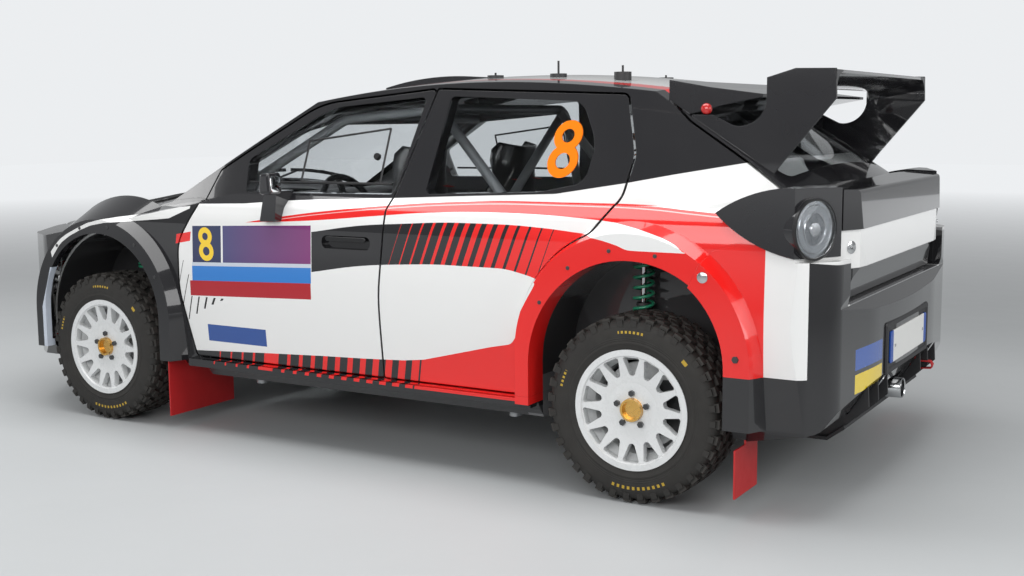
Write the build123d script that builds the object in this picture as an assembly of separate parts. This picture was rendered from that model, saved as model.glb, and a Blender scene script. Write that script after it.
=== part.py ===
from build123d import *
import math
import os

# Rally car in millimetres: +X forward, +Y to the car's left, +Z up, origin on the floor
# under the middle of the car. Pieces that repeat left and right are made once and mirrored.

os.makedirs("parts", exist_ok=True)

# Overall sizes
NOSE_X = 2040.0
TAIL_X = -2040.0
DOOR_SKIN_Y = 857.0
FLARE_Y = 905.0
CROWN_OVER = 5.0
FLOOR_Z = 240.0
SILL_Z = 300.0
BELT_Z = 1003.0
CABIN_BASE = 880.0
ROOF_Z = 1471.0
ROOF_TOP_X = -620.0
ROOF_RADIUS = 5000.0

# Walls and gaps
SKIN = 30.0
WALL = 60.0
SEAM = 8.0
SEAT_GAP = 0.3
GLASS = 6.0
GLASS_SINK = 5.0
BEVEL = 18.0
OUTSIDE = 1100.0
CABIN_FRONT = 700.0
CABIN_REAR = -1985.0
FIREWALL = 20.0
CABIN_FLOOR = FLOOR_Z + WALL
TUNNEL_HALF = 112.0
TUNNEL_TOP = 380.0
RAIL_Z = 400.0
JACK_RADIUS = 15.0
JACK_WALL = 8.0
JACK_FLANGE = 40.0
JACK_PLATE = 6.0
JACK_DEPTH = 28.0
JACK_POINTS = [(430.0, 720.0), (-800.0, 720.0)]

# Wheels and axles
FRONT_AXLE = 1198.0
WHEELBASE = 2540.0
REAR_AXLE = FRONT_AXLE - WHEELBASE
TYRE_RADIUS = 322.0
TYRE_HALF = 108.0
WHEEL_Y = 775.0
LIP_RADIUS = 207.0
LIP_HALF = 105.0
BEAD_RADIUS = 190.5
RIM_WALL = 8.5
HUB_RADIUS = 92.0
DISC_RADIUS = 150.0
SPOKES = 14
STUDS = 5
STUD_CIRCLE = 57.0

# Wheel houses, arch openings and flares
ARCH = {"front": (1180.0, 470.0, 352.0), "rear": (-1338.0, 490.0, 342.0)}
FLARE_BAND = {"front": 60.0, "rear": 88.0}
FLARE_TAPER = 26.0
WELL = {"front": (FRONT_AXLE, 425.0, 395.0), "rear": (REAR_AXLE, 450.0, 380.0)}
WELL_Y = {"front": 498.0, "rear": 560.0}
LINER = 15.0

# Glass slopes and bonnet slope: foot, head and the bow across the car
SCREEN_FOOT = (1060.0, 992.0)
SCREEN_HEAD = (300.0, 1385.0)
SCREEN_BOW = 2570.0
HATCH_FOOT = (-1850.0, 1085.0)
HATCH_HEAD = (-1430.0, 1358.0)
HATCH_BOW = 4200.0
BONNET_FOOT = (1560.0, 908.0)
BONNET_HEAD = (1060.0, 995.0)
BONNET_BOW = 3400.0
TUMBLE = 21.2

# Hinges and steering
FRONT_DOOR_HINGE = (757.0, 858.0, 640.0)
REAR_DOOR_HINGE = (-285.0, 858.0, 640.0)
BONNET_HINGE = (1075.0, 0.0, 1002.0)
TAILGATE_HINGE = (-1325.0, 0.0, 1422.0)
TAILGATE_TOP_X = -1345.0
TAILGATE_HALF = 645.0
STRUT_TOP = (FRONT_AXLE, 604.0, 846.0)
KINGPIN_HUB = (FRONT_AXLE, 690.0, TYRE_RADIUS)
WHEEL_POINT = (215.0, 370.0, 905.0)
COLUMN_TILT = 24.0


# Drawing helpers


def outline(*points):
    """Closed face. A point is reached by a line, and a pair of points by an arc through the first."""
    edges = []
    at = points[0]
    for move in points[1:]:
        if isinstance(move[0], tuple):
            edges.append(ThreePointArc(at, *move))
            at = move[1]
        else:
            edges.append(Line(at, move))
            at = move
    if at != points[0]:
        edges.append(Line(at, points[0]))
    return make_face(edges)


def rounded(corners, depth=0):
    """Closed face from corners (x, y) or (x, y, radius), with its border moved inwards by depth."""
    points = [Vector(c[0], c[1]) for c in corners]
    radii = [c[2] if len(c) == 3 else 0 for c in corners]
    count = len(points)
    area = sum(points[i - 1].X * points[i].Y - points[i].X * points[i - 1].Y for i in range(count))
    if area < 0:
        points.reverse()
        radii.reverse()
    ways = [(points[(i + 1) % count] - points[i]).normalized() for i in range(count)]
    moved = []
    for i in range(count):
        before, after = ways[i - 1], ways[i]
        cross = before.X * after.Y - before.Y * after.X
        left_before = Vector(-before.Y, before.X)
        left_after = Vector(-after.Y, after.X)
        slide = (1 - left_before.dot(left_after)) / cross if abs(cross) > 1e-9 else 0
        moved.append(points[i] + (left_before - before * slide) * depth)
        if radii[i]:
            radii[i] = max(radii[i] - math.copysign(depth, depth * cross), 1) if depth else radii[i]
    starts, arcs = [], []
    for i in range(count):
        before, after = ways[i - 1], ways[i]
        turn = abs(math.acos(max(-1, min(1, before.dot(after)))))
        reach = radii[i] * math.tan(turn / 2)
        if reach < 1e-3:
            starts.append((moved[i], moved[i]))
            arcs.append(None)
            continue
        enter = moved[i] - before * reach
        leave = moved[i] + after * reach
        inward = ((enter + leave) * 0.5 - moved[i]).normalized()
        middle = moved[i] + inward * (math.hypot(reach, radii[i]) - radii[i])
        starts.append((enter, leave))
        arcs.append(ThreePointArc(enter, middle, leave))
    edges = []
    for i in range(count):
        if arcs[i]:
            edges.append(arcs[i])
        here, there = starts[i][1], starts[(i + 1) % count][0]
        if (there - here).length > 1e-3:
            edges.append(Line(here, there))
    return make_face(edges)


def side_prism(face, y_low, y_high, slant=0):
    """Solid of an outline in X and Z, drawn at y_high. A slant leads it forward on its way in."""
    depth = (y_high - y_low) / math.cos(math.radians(slant))
    way = (math.sin(math.radians(slant)), -math.cos(math.radians(slant)), 0)
    return extrude(Plane.XZ.offset(-y_high) * face, depth, dir=way)


def plan_prism(face, z_low, z_high, slant=0):
    """Solid of an outline in X and Y, drawn at z_high. A slant leads it back on its way down."""
    depth = (z_high - z_low) / math.cos(math.radians(slant))
    way = (-math.sin(math.radians(slant)), 0, -math.cos(math.radians(slant)))
    return extrude(Plane.XY.offset(z_high) * face, depth, dir=way)


def cross_prism(face, x_low, x_high):
    return extrude(Plane.YZ.offset(x_low) * face, x_high - x_low)


def block(x, y, z):
    """Box between pairs of limits."""
    centre = Pos((x[0] + x[1]) / 2, (y[0] + y[1]) / 2, (z[0] + z[1]) / 2)
    return centre * Box(x[1] - x[0], y[1] - y[0], z[1] - z[0])


def rod(start, end, radius):
    """Round bar between two points."""
    line = Line(start, end)
    return extrude(Plane(origin=start, z_dir=line % 0) * Circle(radius), line.length)


def bent_tube(points, bend, radius):
    """Round bar along straight runs with bends of one radius."""
    path = FilletPolyline(*points, radius=bend)
    return sweep(Plane(origin=path @ 0, z_dir=path % 0) * Circle(radius), path)


def mirrored(solid):
    return mirror(solid, Plane.XZ)


def as_drawn(solid):
    return solid


def both_sides(solid):
    return solid + mirrored(solid)


def doubled(half, across):
    """Corners of both halves, from one half that starts and ends on the middle line."""
    back = [tuple(-v if i == across else v for i, v in enumerate(c)) for c in reversed(half[1:-1])]
    return list(half) + back


# Body form


def lower_side():
    return [
        (1905, FLOOR_Z),
        (2010, 250, 60),
        (NOSE_X + CROWN_OVER, 440, 150),
        (2020, 660, 90),
        (1945, 750, 110),
        (1600, 893, 1800),
        SCREEN_FOOT,
        (700, BELT_Z),
        (-1540, BELT_Z, 200),
        (-1850, 1072, 120),
        (-2010, 1062, 15),
        (-2026, 800, 20),
        (-2000, 690, 10),
        (TAIL_X - CROWN_OVER, 640, 20),
        (TAIL_X - CROWN_OVER, 430, 60),
        (-1965, 300, 40),
        (-1700, FLOOR_Z, 80),
    ]


def lower_plan():
    half = [
        (NOSE_X + 2, 0, 3000),
        (NOSE_X - 8, 240, 900),
        (1975, 475, 250),
        (1800, 722, 300),
        (1560, 864, 260),
        (740, 864),
        (700, 858),
        (-1905, 858, 90),
        (-2000, 745, 120),
        (TAIL_X + 9, 420, 1500),
        (TAIL_X - 3, 0, 8000),
    ]
    return doubled(half, 1)


def cross_section():
    half = [
        (0, FLOOR_Z - 30),
        (770, FLOOR_Z - 30),
        (834, 296, 30),
        (DOOR_SKIN_Y + 2, 600, 2000),
        (848, 900, 200),
        (832, 958, 40),
        (790, BELT_Z),
        (763, 1080),
        (0, 1080),
    ]
    return doubled(half, 0)


def cabin_plan():
    half = [
        (1350, 0),
        (1350, 598),
        (560, 790, 1800),
        (-1150, 787, 2500),
        (-1955, 625),
        (-1955, 0),
    ]
    return doubled(half, 1)


def slope_frame(foot, head):
    """Unit vectors up a slope in the middle plane, and out of it."""
    along = Vector(head[0] - foot[0], 0, head[1] - foot[1]).normalized()
    out = Vector(along.Z, 0, -along.X)
    if out.Z < 0:
        out = -out
    return along, out


def under_slope(foot, head, bow, depth):
    """Everything under a slope bowed across the car, its surface lowered by depth."""
    along, out = slope_frame(foot, head)
    axis = Vector(foot[0], 0, foot[1]) - out * bow
    return extrude(Plane(origin=axis - along * 1600, z_dir=along) * Circle(bow - depth), 6400)


def arch_corners(x, z, radius, low):
    """Corners of a half circle that stands on two straight sides."""
    top = z + radius
    return [(x - radius, low), (x + radius, low), (x + radius, top, radius), (x - radius, top, radius)]


def flare(end, depth):
    """Left wheel flare: a drafted arch that stands out of the body side."""
    x, z, radius = ARCH[end]
    radius += FLARE_BAND[end]
    face = rounded(arch_corners(x, z, radius, SILL_Z), depth)
    arch = extrude(Plane.XZ.offset(depth - FLARE_Y) * face, 190, taper=-FLARE_TAPER)
    return arch & block((TAIL_X, NOSE_X), (0, OUTSIDE), (SILL_Z + depth, ROOF_Z))


LAMP_AT = (-1918.0, 782.0, 947.0)
LAMP_RADIUS = 98.0
LAMP_TURN = 23.0
LEDGE_Z = 845.0
RECESS_Z = (700.0, 806.0)
PANEL_Z = 932.0


def lamp_plane():
    turn = math.radians(LAMP_TURN)
    return Plane(origin=LAMP_AT, x_dir=(0, 0, 1), z_dir=(-math.cos(turn), math.sin(turn), 0))


def rear_corner(depth):
    """What the flat behind a rear lamp takes off the left rear corner."""
    beyond = extrude(lamp_plane().offset(-depth) * Rectangle(900, 900), 400)
    lid = block((-2300, -1500), (500 - depth, TAILGATE_HALF + SEAM / 2 + depth), (RECESS_Z[0] - depth, 1300))
    side = block((-2300, -1500), (TAILGATE_HALF, OUTSIDE), (LEDGE_Z - depth, 1300))
    return beyond & (lid + side)


def body_form(depth):
    """The car's closed outer shape with every face moved inwards by depth."""
    lower = side_prism(rounded(lower_side(), depth), -OUTSIDE, OUTSIDE)
    lower &= plan_prism(rounded(lower_plan(), depth), 0, ROOF_Z)
    lower &= cross_prism(rounded(cross_section(), depth), TAIL_X, NOSE_X)
    lower &= under_slope(BONNET_FOOT, BONNET_HEAD, BONNET_BOW, depth)
    for end in ARCH:
        lower += both_sides(flare(end, depth))
    upper = cabin_core(depth)
    upper &= Pos(ROOF_TOP_X, 0, ROOF_Z - ROOF_RADIUS) * Sphere(ROOF_RADIUS - depth)
    upper &= under_slope(SCREEN_FOOT, SCREEN_HEAD, SCREEN_BOW, depth)
    upper &= under_slope(HATCH_FOOT, HATCH_HEAD, HATCH_BOW, depth)
    return lower + upper - both_sides(rear_corner(depth))


def cabin_core(depth):
    """The cabin between walls of a given depth, as if it had neither roof nor glass slopes."""
    lean = math.radians(TUMBLE)
    spread = (BELT_Z - CABIN_BASE) * math.tan(lean) - depth / math.cos(lean)
    plan = rounded(cabin_plan(), -spread)
    return extrude(Plane.XY.offset(CABIN_BASE) * plan, ROOF_Z - CABIN_BASE + 30, taper=TUMBLE)


OUTER = body_form(0)
UNDER = body_form(SKIN)
INNER = body_form(WALL)


# Outlines of doors, lids and windows. Door outlines are drawn at the hinge's Y and lead
# forward on their way in, so their tops stand back by the slant.


def front_door_outline():
    return [
        (-298, 322, 12),
        (672, 322, 25),
        (748, 600, 350),
        (750, 800, 160),
        (640, 955, 60),
        (562, 1095, 40),
        (60, 1362, 420),
        (-493, 1412, 15),
        (-352, 1040, 60),
        (-318, 965, 60),
        (-284, 640, 800),
    ]


def rear_door_outline():
    return [
        (-893, 322, 15),
        (-298, 322, 12),
        (-284, 640, 800),
        (-318, 965, 60),
        (-352, 1040, 60),
        (-493, 1412, 15),
        (-1288, 1380, 25),
        (-1325, 1170, 80),
        (-1285, 1030, 100),
        (-1175, 906, 60),
        (-893, 783, 445),
    ]


def front_window_outline():
    return [(-312, 1018, 25), (425, 1010, 10), (447, 1140, 30), (70, 1345, 350), (-378, 1382, 20)]


def rear_window_outline():
    return [
        (-935, 1040, 300),
        (-452, 1022, 20),
        (-486, 1382, 20),
        (-1045, 1356, 80),
        (-1122, 1210, 150),
        (-1105, 1075, 60),
    ]


def bonnet_outline():
    """Drawn at the hinge's height. The front stands forward by the slant."""
    half = [(1958, 0), (1955, 230, 600), (1890, 480, 200), (1760, 640, 120), (1082, 692, 15), (1082, 0)]
    return doubled(half, 1)


def cowl_outline():
    return doubled([(1068, 0), (1068, 692), (640, 775), (640, 0)], 1)


def tailgate_outline():
    return [
        (TAILGATE_TOP_X, 1500),
        (TAILGATE_TOP_X, 1376),
        (-1362, 1356),
        (-1441, 1283),
        (-1557, 1208),
        (-1663, 1139),
        (-1784, 1052, 60),
        (-1830, 1000),
        (-1830, 698),
        (-2100, 698),
        (-2100, 1500),
    ]


def bumper_outline():
    """Side view of what the rear bumper covers."""
    return [
        (-1548, 740),
        (-1612, 868, 15),
        (-1700, 900, 60),
        (-1800, 893, 100),
        (-1900, 850, 200),
        (-2100, 815),
        (-2100, 200),
        (-1660, 200),
        (-1660, 560),
    ]


def slope_plane(foot, head):
    """Plane lying on a slope, its local X across the car and its local Y up the slope."""
    along, out = slope_frame(foot, head)
    side = along.cross(out)
    return Plane(origin=(foot[0], 0, foot[1]), x_dir=side, z_dir=out)


# Opening in a slope: across, height up the slope, corner radius, from the middle line round to it
SCREEN_HALF = [(0, 70), (690, 70, 40), (652, 330, 900), (520, 780, 40), (0, 780)]
HATCH_HALF = [(0, 75), (560, 75, 40), (520, 440, 40), (0, 440)]


def screen_prism(foot, head, half, out_low, out_high, depth=0):
    """Prism square to a slope, from half an opening with its border moved inwards by depth."""
    plane = slope_plane(foot, head).offset(out_low)
    return extrude(plane * rounded(doubled(half, 0), depth), out_high - out_low)


def window_cell(corners):
    """The part of the body form behind a left window outline."""
    return OUTER & side_prism(rounded(corners), 480, OUTSIDE)


def pane(cell, step):
    """Sheet of glass sunk under the surface of a cell by a step in and a step of its thickness."""
    sink = step * GLASS_SINK
    back = step * (GLASS_SINK + GLASS)
    return (Pos(*sink) * cell) - (Pos(*back) * cell)


# Wheel houses


def well(end, grow=0):
    """Room for a left wheel, behind the outer skin."""
    x, z, radius = WELL[end]
    low = WELL_Y[end] - grow
    return side_prism(rounded(arch_corners(x, z, radius + grow, 0)), low, OUTSIDE)


def arch_opening(end):
    x, z, radius = ARCH[end]
    return side_prism(rounded(arch_corners(x, z, radius, 0)), 700, OUTSIDE)


# Body shell


def door_prism(corners, grow):
    """Left door prism through the body side, with room outside the skin."""
    moved = rounded(corners, -grow)
    y_hinge = FRONT_DOOR_HINGE[1]
    inner = side_prism(moved, 470, y_hinge, slant=BEVEL)
    outer = side_prism(moved, y_hinge, y_hinge + 60)
    return inner + outer - cabin_core(WALL + grow)


def bonnet_prism(grow):
    return plan_prism(rounded(bonnet_outline(), -grow), 400, BONNET_HINGE[2] + 20, slant=BEVEL)


def tailgate_prism(grow):
    face = rounded(tailgate_outline(), -grow)
    return side_prism(face, -TAILGATE_HALF - grow, TAILGATE_HALF + grow)


def bumper_zone(grow):
    """What the rear bumper's skin covers: the sides, and the middle under the tailgate."""
    zone = side_prism(rounded(bumper_outline(), -grow), -OUTSIDE, OUTSIDE)
    lid = block((-2200, -1500), (-TAILGATE_HALF, TAILGATE_HALF), (690 + grow, ROOF_Z))
    return zone - lid


def body_shell():
    half = SEAM / 2
    rear = OUTER & block((TAIL_X, 640), (-OUTSIDE, OUTSIDE), (0, ROOF_Z + 10))
    pillar = UNDER & block((640, 800), (-OUTSIDE, OUTSIDE), (0, ROOF_Z))
    cowl = OUTER & plan_prism(rounded(cowl_outline()), 700, ROOF_Z)
    shell = rear + pillar + cowl
    cabin = INNER & block((CABIN_REAR, CABIN_FRONT), (-OUTSIDE, OUTSIDE), (0, ROOF_Z))
    cabin -= block((CABIN_REAR, CABIN_FRONT), (-TUNNEL_HALF - 18, TUNNEL_HALF + 18), (FLOOR_Z, TUNNEL_TOP + 15))
    cabin -= both_sides(well("rear", LINER))
    bay = INNER & block((CABIN_FRONT + FIREWALL, 1100), (-620, 620), (0, ROOF_Z))
    shell -= cabin
    shell -= bay
    shell -= block((TAIL_X - 10, 900), (-TUNNEL_HALF, TUNNEL_HALF), (FLOOR_Z - 40, TUNNEL_TOP))
    for end in WELL:
        shell -= both_sides(well(end))
    shell -= both_sides(door_prism(front_door_outline(), half))
    shell -= both_sides(door_prism(rear_door_outline(), half))
    shell -= tailgate_prism(half)
    shell -= bonnet_prism(half)
    shell -= screen_prism(SCREEN_FOOT, SCREEN_HEAD, SCREEN_HALF, -200, 200)
    shell -= (OUTER - UNDER) & bumper_zone(0)
    slot = rounded([(-1232, 1188, 12), (-1197, 1188, 12), (-1189, 1292, 12), (-1226, 1292, 12)])
    shell -= both_sides(side_prism(slot, 626, OUTSIDE))
    return shell


FLOOR_CUT = 332.0
FRONT_CUT = 100.0


def floor_zone(grow):
    """Space of the floor, its sills and its tunnel, behind the firewall."""
    low = block((TAIL_X, 680 + grow), (-OUTSIDE, OUTSIDE), (0, FLOOR_CUT + grow))
    return low + block((TAIL_X, 680 + grow), (-TUNNEL_HALF - 20 - grow, TUNNEL_HALF + 20 + grow), (0, 400 + grow))


def tunnel_zone(grow):
    """Space of the tunnel over the floor's level."""
    half = TUNNEL_HALF + 20 + grow
    return block((TAIL_X, 680 + SEAT_GAP), (-half, half), (CABIN_FLOOR - grow, 400 + 2 * SEAT_GAP))


def firewall_zone(grow):
    """Space of the firewall's plate, between the hinge pillars."""
    half = 612 + grow
    return block((CABIN_FRONT - 5, CABIN_FRONT + FIREWALL + grow), (-half, half), (FLOOR_CUT + 3 - grow, 960))


def door_stops():
    """Buffers on the floor that the closed doors rest against."""
    front, rear = [block((x - 25, x + 25), (740, 900), (CABIN_FLOOR - 5, 372)) for x in (-235, -845)]
    return (front + rear) & Pos(0, -SEAT_GAP, 0) * INNER


def body_nodes():
    """The shell cut into front frame, firewall, floor, tunnel, roof skin and the rear with its pillars."""
    shell = body_shell()
    floor = shell & floor_zone(0)
    tunnel = floor & tunnel_zone(-SEAT_GAP)
    floor = (floor - tunnel_zone(0)) + both_sides(door_stops())
    shell -= floor_zone(SEAT_GAP)
    middle = Pos(ROOF_TOP_X, 0, ROOF_Z - ROOF_RADIUS)
    roof = shell - middle * Sphere(ROOF_RADIUS - WALL)
    shell &= middle * Sphere(ROOF_RADIUS - WALL - SEAT_GAP)
    front = shell & block((FRONT_CUT, NOSE_X), (-OUTSIDE, OUTSIDE), (0, ROOF_Z))
    plate = front & firewall_zone(0)
    front = front - firewall_zone(SEAT_GAP) + wheel_houses()
    rear = shell & block((TAIL_X, FRONT_CUT), (-OUTSIDE, OUTSIDE), (0, ROOF_Z))
    return {"front_frame": front, "firewall": plate, "front_rails": front_rails(), "floor_pan": floor,
            "centre_tunnel": tunnel, "roof_panel": roof, "body_shell": rear}


def jack_sockets():
    """Flanged tubes under the floor, which the pin of a jack or a stand enters from below."""
    socket = Cylinder(JACK_RADIUS + JACK_WALL, JACK_DEPTH)
    socket += Pos(0, 0, (JACK_DEPTH - JACK_PLATE) / 2) * Cylinder(JACK_FLANGE, JACK_PLATE)
    socket -= Cylinder(JACK_RADIUS, JACK_DEPTH)
    middle = FLOOR_Z - SEAT_GAP - JACK_DEPTH / 2
    front, rear = [Pos(x, y, middle) * socket for x, y in JACK_POINTS]
    return both_sides(front + rear)


BONNET_STOP = (1720.0, 453.0)


def wheel_houses():
    """Inner wings with the strut towers, clear of the bonnet."""
    inner_y = WELL_Y["front"] - LINER
    liner = well("front", LINER) - well("front")
    liner &= block((700, 1800), (0, 790), (0, ROOF_Z))
    liner -= block((1040, 1360), (460, 720), (750, ROOF_Z))
    liner -= rod((FRONT_AXLE, 460, TYRE_RADIUS), (FRONT_AXLE, 520, TYRE_RADIUS), 60)
    plane = kingpin_plane(STRUT_TOP)
    tower = extrude(plane.offset(SEAT_GAP) * (Circle(88) - Circle(18)), 14)
    tower += extrude(plane.offset(-90) * (Circle(88) - Circle(76)), 90 + SEAT_GAP)
    shelf = block((1090, 1306), (inner_y, 540), (730, 820)) - extrude(plane.offset(-200) * Circle(76), 300)
    side = (liner + tower + shelf) & UNDER & Pos(0, 0, -SEAM) * UNDER
    return both_sides(side)


def front_rails():
    """Rails with the bonnet's stops, joined by the bumper beam."""
    inner_y = WELL_Y["front"] - LINER
    start = CABIN_FRONT + FIREWALL + SEAT_GAP
    rail = block((start, 1960), (inner_y - 60, inner_y - SEAT_GAP), (RAIL_Z, RAIL_Z + 100)) & UNDER
    rail += rod((*BONNET_STOP, RAIL_Z + 90), (*BONNET_STOP, ROOF_Z), 14) & Pos(0, 0, -SEAT_GAP) * UNDER
    beam = (UNDER - INNER) & block((1700, NOSE_X), (-OUTSIDE, OUTSIDE), (RAIL_Z, RAIL_Z + 100))
    return both_sides(rail) + beam


def kingpin_plane(origin):
    """Plane square to the left kingpin, facing up."""
    axis = Vector(*STRUT_TOP) - Vector(*KINGPIN_HUB)
    return Plane(origin=origin, x_dir=(1, 0, 0), z_dir=axis)


# Front panels


def front_skin():
    skin = OUTER - UNDER
    skin &= block((560, NOSE_X), (-OUTSIDE, OUTSIDE), (0, ROOF_Z))
    skin -= both_sides(arch_opening("front"))
    skin -= both_sides(well("front") & block((0, NOSE_X), (0, 800), (0, ROOF_Z)))
    return skin - bonnet_prism(SEAM / 2)


BUMPER_SEAM = [(1480, 740), (1640, 830), (1760, 800), (2100, 748)]


def front_bumper_zone():
    face = outline((1470, 200), (1470, 700), *BUMPER_SEAM, (2100, 200))
    return side_prism(face, -OUTSIDE, OUTSIDE)


def front_wings():
    left = front_skin() & block((560, 1800), (600, OUTSIDE), (SILL_Z, 1000))
    left -= door_prism(front_door_outline(), SEAM / 2)
    left -= plan_prism(rounded(cowl_outline()), 0, ROOF_Z)
    left -= block((500, 640), (0, OUTSIDE), (0, ROOF_Z))
    left -= front_bumper_zone()
    return both_sides(left)


GRILLE = {"low": 300.0, "high": 560.0, "half": 520.0}


def front_bumper():
    skin = front_skin() & front_bumper_zone()
    mouth = block((1700, NOSE_X + 10), (-GRILLE["half"], GRILLE["half"]), (GRILLE["low"], GRILLE["high"]))
    skin -= mouth
    skin -= block((1400, 1880), (-470, 470), (0, 290))
    skin -= both_sides(block((1400, 1565), (700, 862), (0, 480)))
    return skin - both_sides(lamp_cell(0))


def lamp_cell(clearance):
    """Opening of the left headlamp in the front corner."""
    return block((1700, NOSE_X + 10), (520 + clearance, 690 - clearance), (600 + clearance, 715 - clearance))


def headlamps():
    left = (OUTER - UNDER) & lamp_cell(SEAT_GAP)
    return both_sides(left)


def grille():
    """Frame with slats, seated in the bumper's mouth."""
    reach = GRILLE["half"] - SEAT_GAP
    low = GRILLE["low"] + SEAT_GAP
    high = GRILLE["high"] - SEAT_GAP
    sheet = (Pos(-12, 0, 0) * OUTER) - (Pos(-26, 0, 0) * OUTER)
    sheet &= block((1800, NOSE_X), (-reach, reach), (low, high))
    slats = 6
    pitch = (high - low) / slats
    for row in range(slats):
        z = low + row * pitch
        sheet -= block((1700, NOSE_X), (-reach + 14, reach - 14), (z + 8, z + pitch - 8))
    return sheet


def bonnet():
    lid = (OUTER - UNDER) & bonnet_prism(-SEAM / 2)
    return lid


# Rear panels


def rear_bumper():
    skin = (OUTER - UNDER) & bumper_zone(0)
    skin -= both_sides(arch_opening("rear"))
    skin -= block((TAIL_X - 10, -1600), (-TUNNEL_HALF, TUNNEL_HALF), (0, 350))
    skin -= both_sides(well("rear") & block((TAIL_X, 0), (0, 800), (0, ROOF_Z)))
    return skin


def diffuser():
    fins = None
    for y in [-480, -360, -240, 240, 360, 480]:
        fin = side_prism(
            outline((-1700, FLOOR_Z), (-1965, 300), (-2030, 400), (-2034, 330), (-1900, 205), (-1700, 205)),
            y - 5,
            y + 5,
        )
        fins = fin if fins is None else fins + fin
    tray = side_prism(
        outline((-1700, 205), (-1900, 205), (-1960, 250), (-1956, 262), (-1897, 217), (-1700, 217)), -500, 500
    )
    return (fins + tray) - OUTER


def tail_lamps():
    """Teardrop pods on the rear shoulders, each with a round lamp facing back and out."""
    face = outline(
        (-1630, 994),
        ((-1715, 1042), (-1860, 1078)),
        (-1995, 1072),
        (-2010, 850),
        (-1904, 856),
        ((-1760, 900), (-1630, 994)),
    )
    pod = side_prism(face, TAILGATE_HALF + 12, 862)
    pod -= OUTER
    pod -= extrude(lamp_plane().offset(6) * Circle(400), 200)
    barrel = extrude(lamp_plane().offset(-70) * Circle(LAMP_RADIUS), 84) - OUTER
    left = pod + barrel
    return both_sides(left)


def tailgate():
    """Lid with a bar that stands out over a panel, and a recess under the panel."""
    lid = (OUTER - INNER) & tailgate_prism(-SEAM / 2)
    for step, low, high in [(12, RECESS_Z[1], PANEL_Z), (34, 0, RECESS_Z[1])]:
        layer = OUTER - Pos(step, 0, 0) * OUTER
        lid -= layer & block((-2200, -1900), (-OUTSIDE, OUTSIDE), (low, high))
    return lid - screen_prism(HATCH_FOOT, HATCH_HEAD, HATCH_HALF, -200, 200)


def slope_glass(foot, head, rows):
    """Pane sunk in a slope, lying just inside its opening."""
    _, out = slope_frame(foot, head)
    cell = OUTER & screen_prism(foot, head, rows, -250, 60)
    return pane(cell, out * -1) & screen_prism(foot, head, rows, -250, 60, SEAT_GAP)


WING_Y = 598.0
WING_BEND = 70.0


def rear_wing():
    """Hatch spoiler, main plane and two tall end plates that stand on the tailgate."""
    lip = outline(
        (TAILGATE_TOP_X - SEAM, 1425),
        (-1500, 1398),
        (-1688, 1372),
        (-1688, 1362),
        (-1560, 1340),
        (-1440, 1310),
        (-1352, 1300),
    )
    spoiler = side_prism(lip, -WING_Y, WING_Y)
    spoiler &= block((-1700, TAILGATE_TOP_X - SEAM / 2), (-OUTSIDE, OUTSIDE), (1200, 1500))
    plate = outline(
        (-1722, 1098),
        (-1763, 1150),
        (-1935, 1355),
        (-1932, 1450),
        (-1800, 1453),
        (-1703, 1425),
        (-1703, 1345),
        ((-1655, 1278), (-1590, 1268)),
        (-1515, 1305),
        (-1440, 1306),
        (-1430, 1260),
    )
    plates = both_sides(side_prism(plate, WING_Y - 6, WING_Y + 6))
    plane = outline(
        (-1712, 1398),
        ((-1790, 1392), (-1932, 1436)),
        (-1934, 1446),
        ((-1800, 1428), (-1716, 1412)),
    )
    main = side_prism(plane, -WING_Y, WING_Y)
    cover = outline((-1712, 1328), (-1934, 1368), (-1934, 1446), ((-1800, 1428), (-1716, 1412)))
    corner = side_prism(cover, WING_Y - WING_BEND, WING_Y)
    middle_y = WING_Y - WING_BEND
    corner -= rod((-1690, middle_y, 1324), (-1960, middle_y, 1373), WING_BEND)
    return (spoiler + plates + main + both_sides(corner)) - OUTER


# Doors


HANDLE_RECESS = [(-246, 808, 22), (-14, 808, 22), (-14, 858, 22), (-246, 858, 22)]


def door(corners, window):
    panel = (OUTER - INNER) & door_prism(corners, -SEAM / 2)
    return panel - side_prism(rounded(window), 400, OUTSIDE)


def door_glass(window):
    cell = window_cell(window)
    sheet = pane(cell, Vector(0, -1, 0))
    return sheet & side_prism(rounded(window, SEAT_GAP), 480, OUTSIDE)


def mirror_pod():
    foot = side_prism(outline((190, 905), (268, 903), (240, 1024), (178, 1024)), 780, 884)
    foot -= Pos(0, SEAT_GAP, 0) * OUTER
    head = side_prism(outline((168, 1014), (226, 1012), (220, 1094), (174, 1098)), 856, 934)
    head = fillet(head.edges(), 12)
    return foot + head


# Trim on the body


def side_skirts():
    strip = block((-950, 700), (780, 868), (284, 315))
    strip -= OUTER
    return both_sides(strip)


def mud_flaps():
    front_x = WELL["front"][0] - WELL["front"][2]
    rear_x = WELL["rear"][0] - WELL["rear"][2]
    front = block((front_x, front_x + 6), (WELL_Y["front"], 800), (58, 400))
    front += block((front_x, front_x + 6), (800, 880), (58, SILL_Z - 4))
    rear = block((rear_x, rear_x + 6), (690, 800), (75, 400))
    rear += block((rear_x, rear_x + 6), (800, 895), (75, FLOOR_Z - 4))
    return both_sides(front + rear)


def roof_scoop():
    face = outline((150, 1380), (150, 1432), ((-40, 1466), (-302, 1470)), (-302, 1400))
    scoop = side_prism(face, -190, 190)
    return scoop - OUTER


def roof_aerials():
    base = None
    for x, y, height in [(-800, 380, 1513), (-1070, 380, 1489), (-905, -380, 1475), (-520, 380, 1475)]:
        puck = Pos(x, y, 1440) * Cylinder(32, 50)
        mast = Pos(x, y, (1440 + height) / 2) * Cylinder(4, height - 1440)
        piece = (puck + mast) - OUTER
        base = piece if base is None else base + piece
    return base


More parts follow.
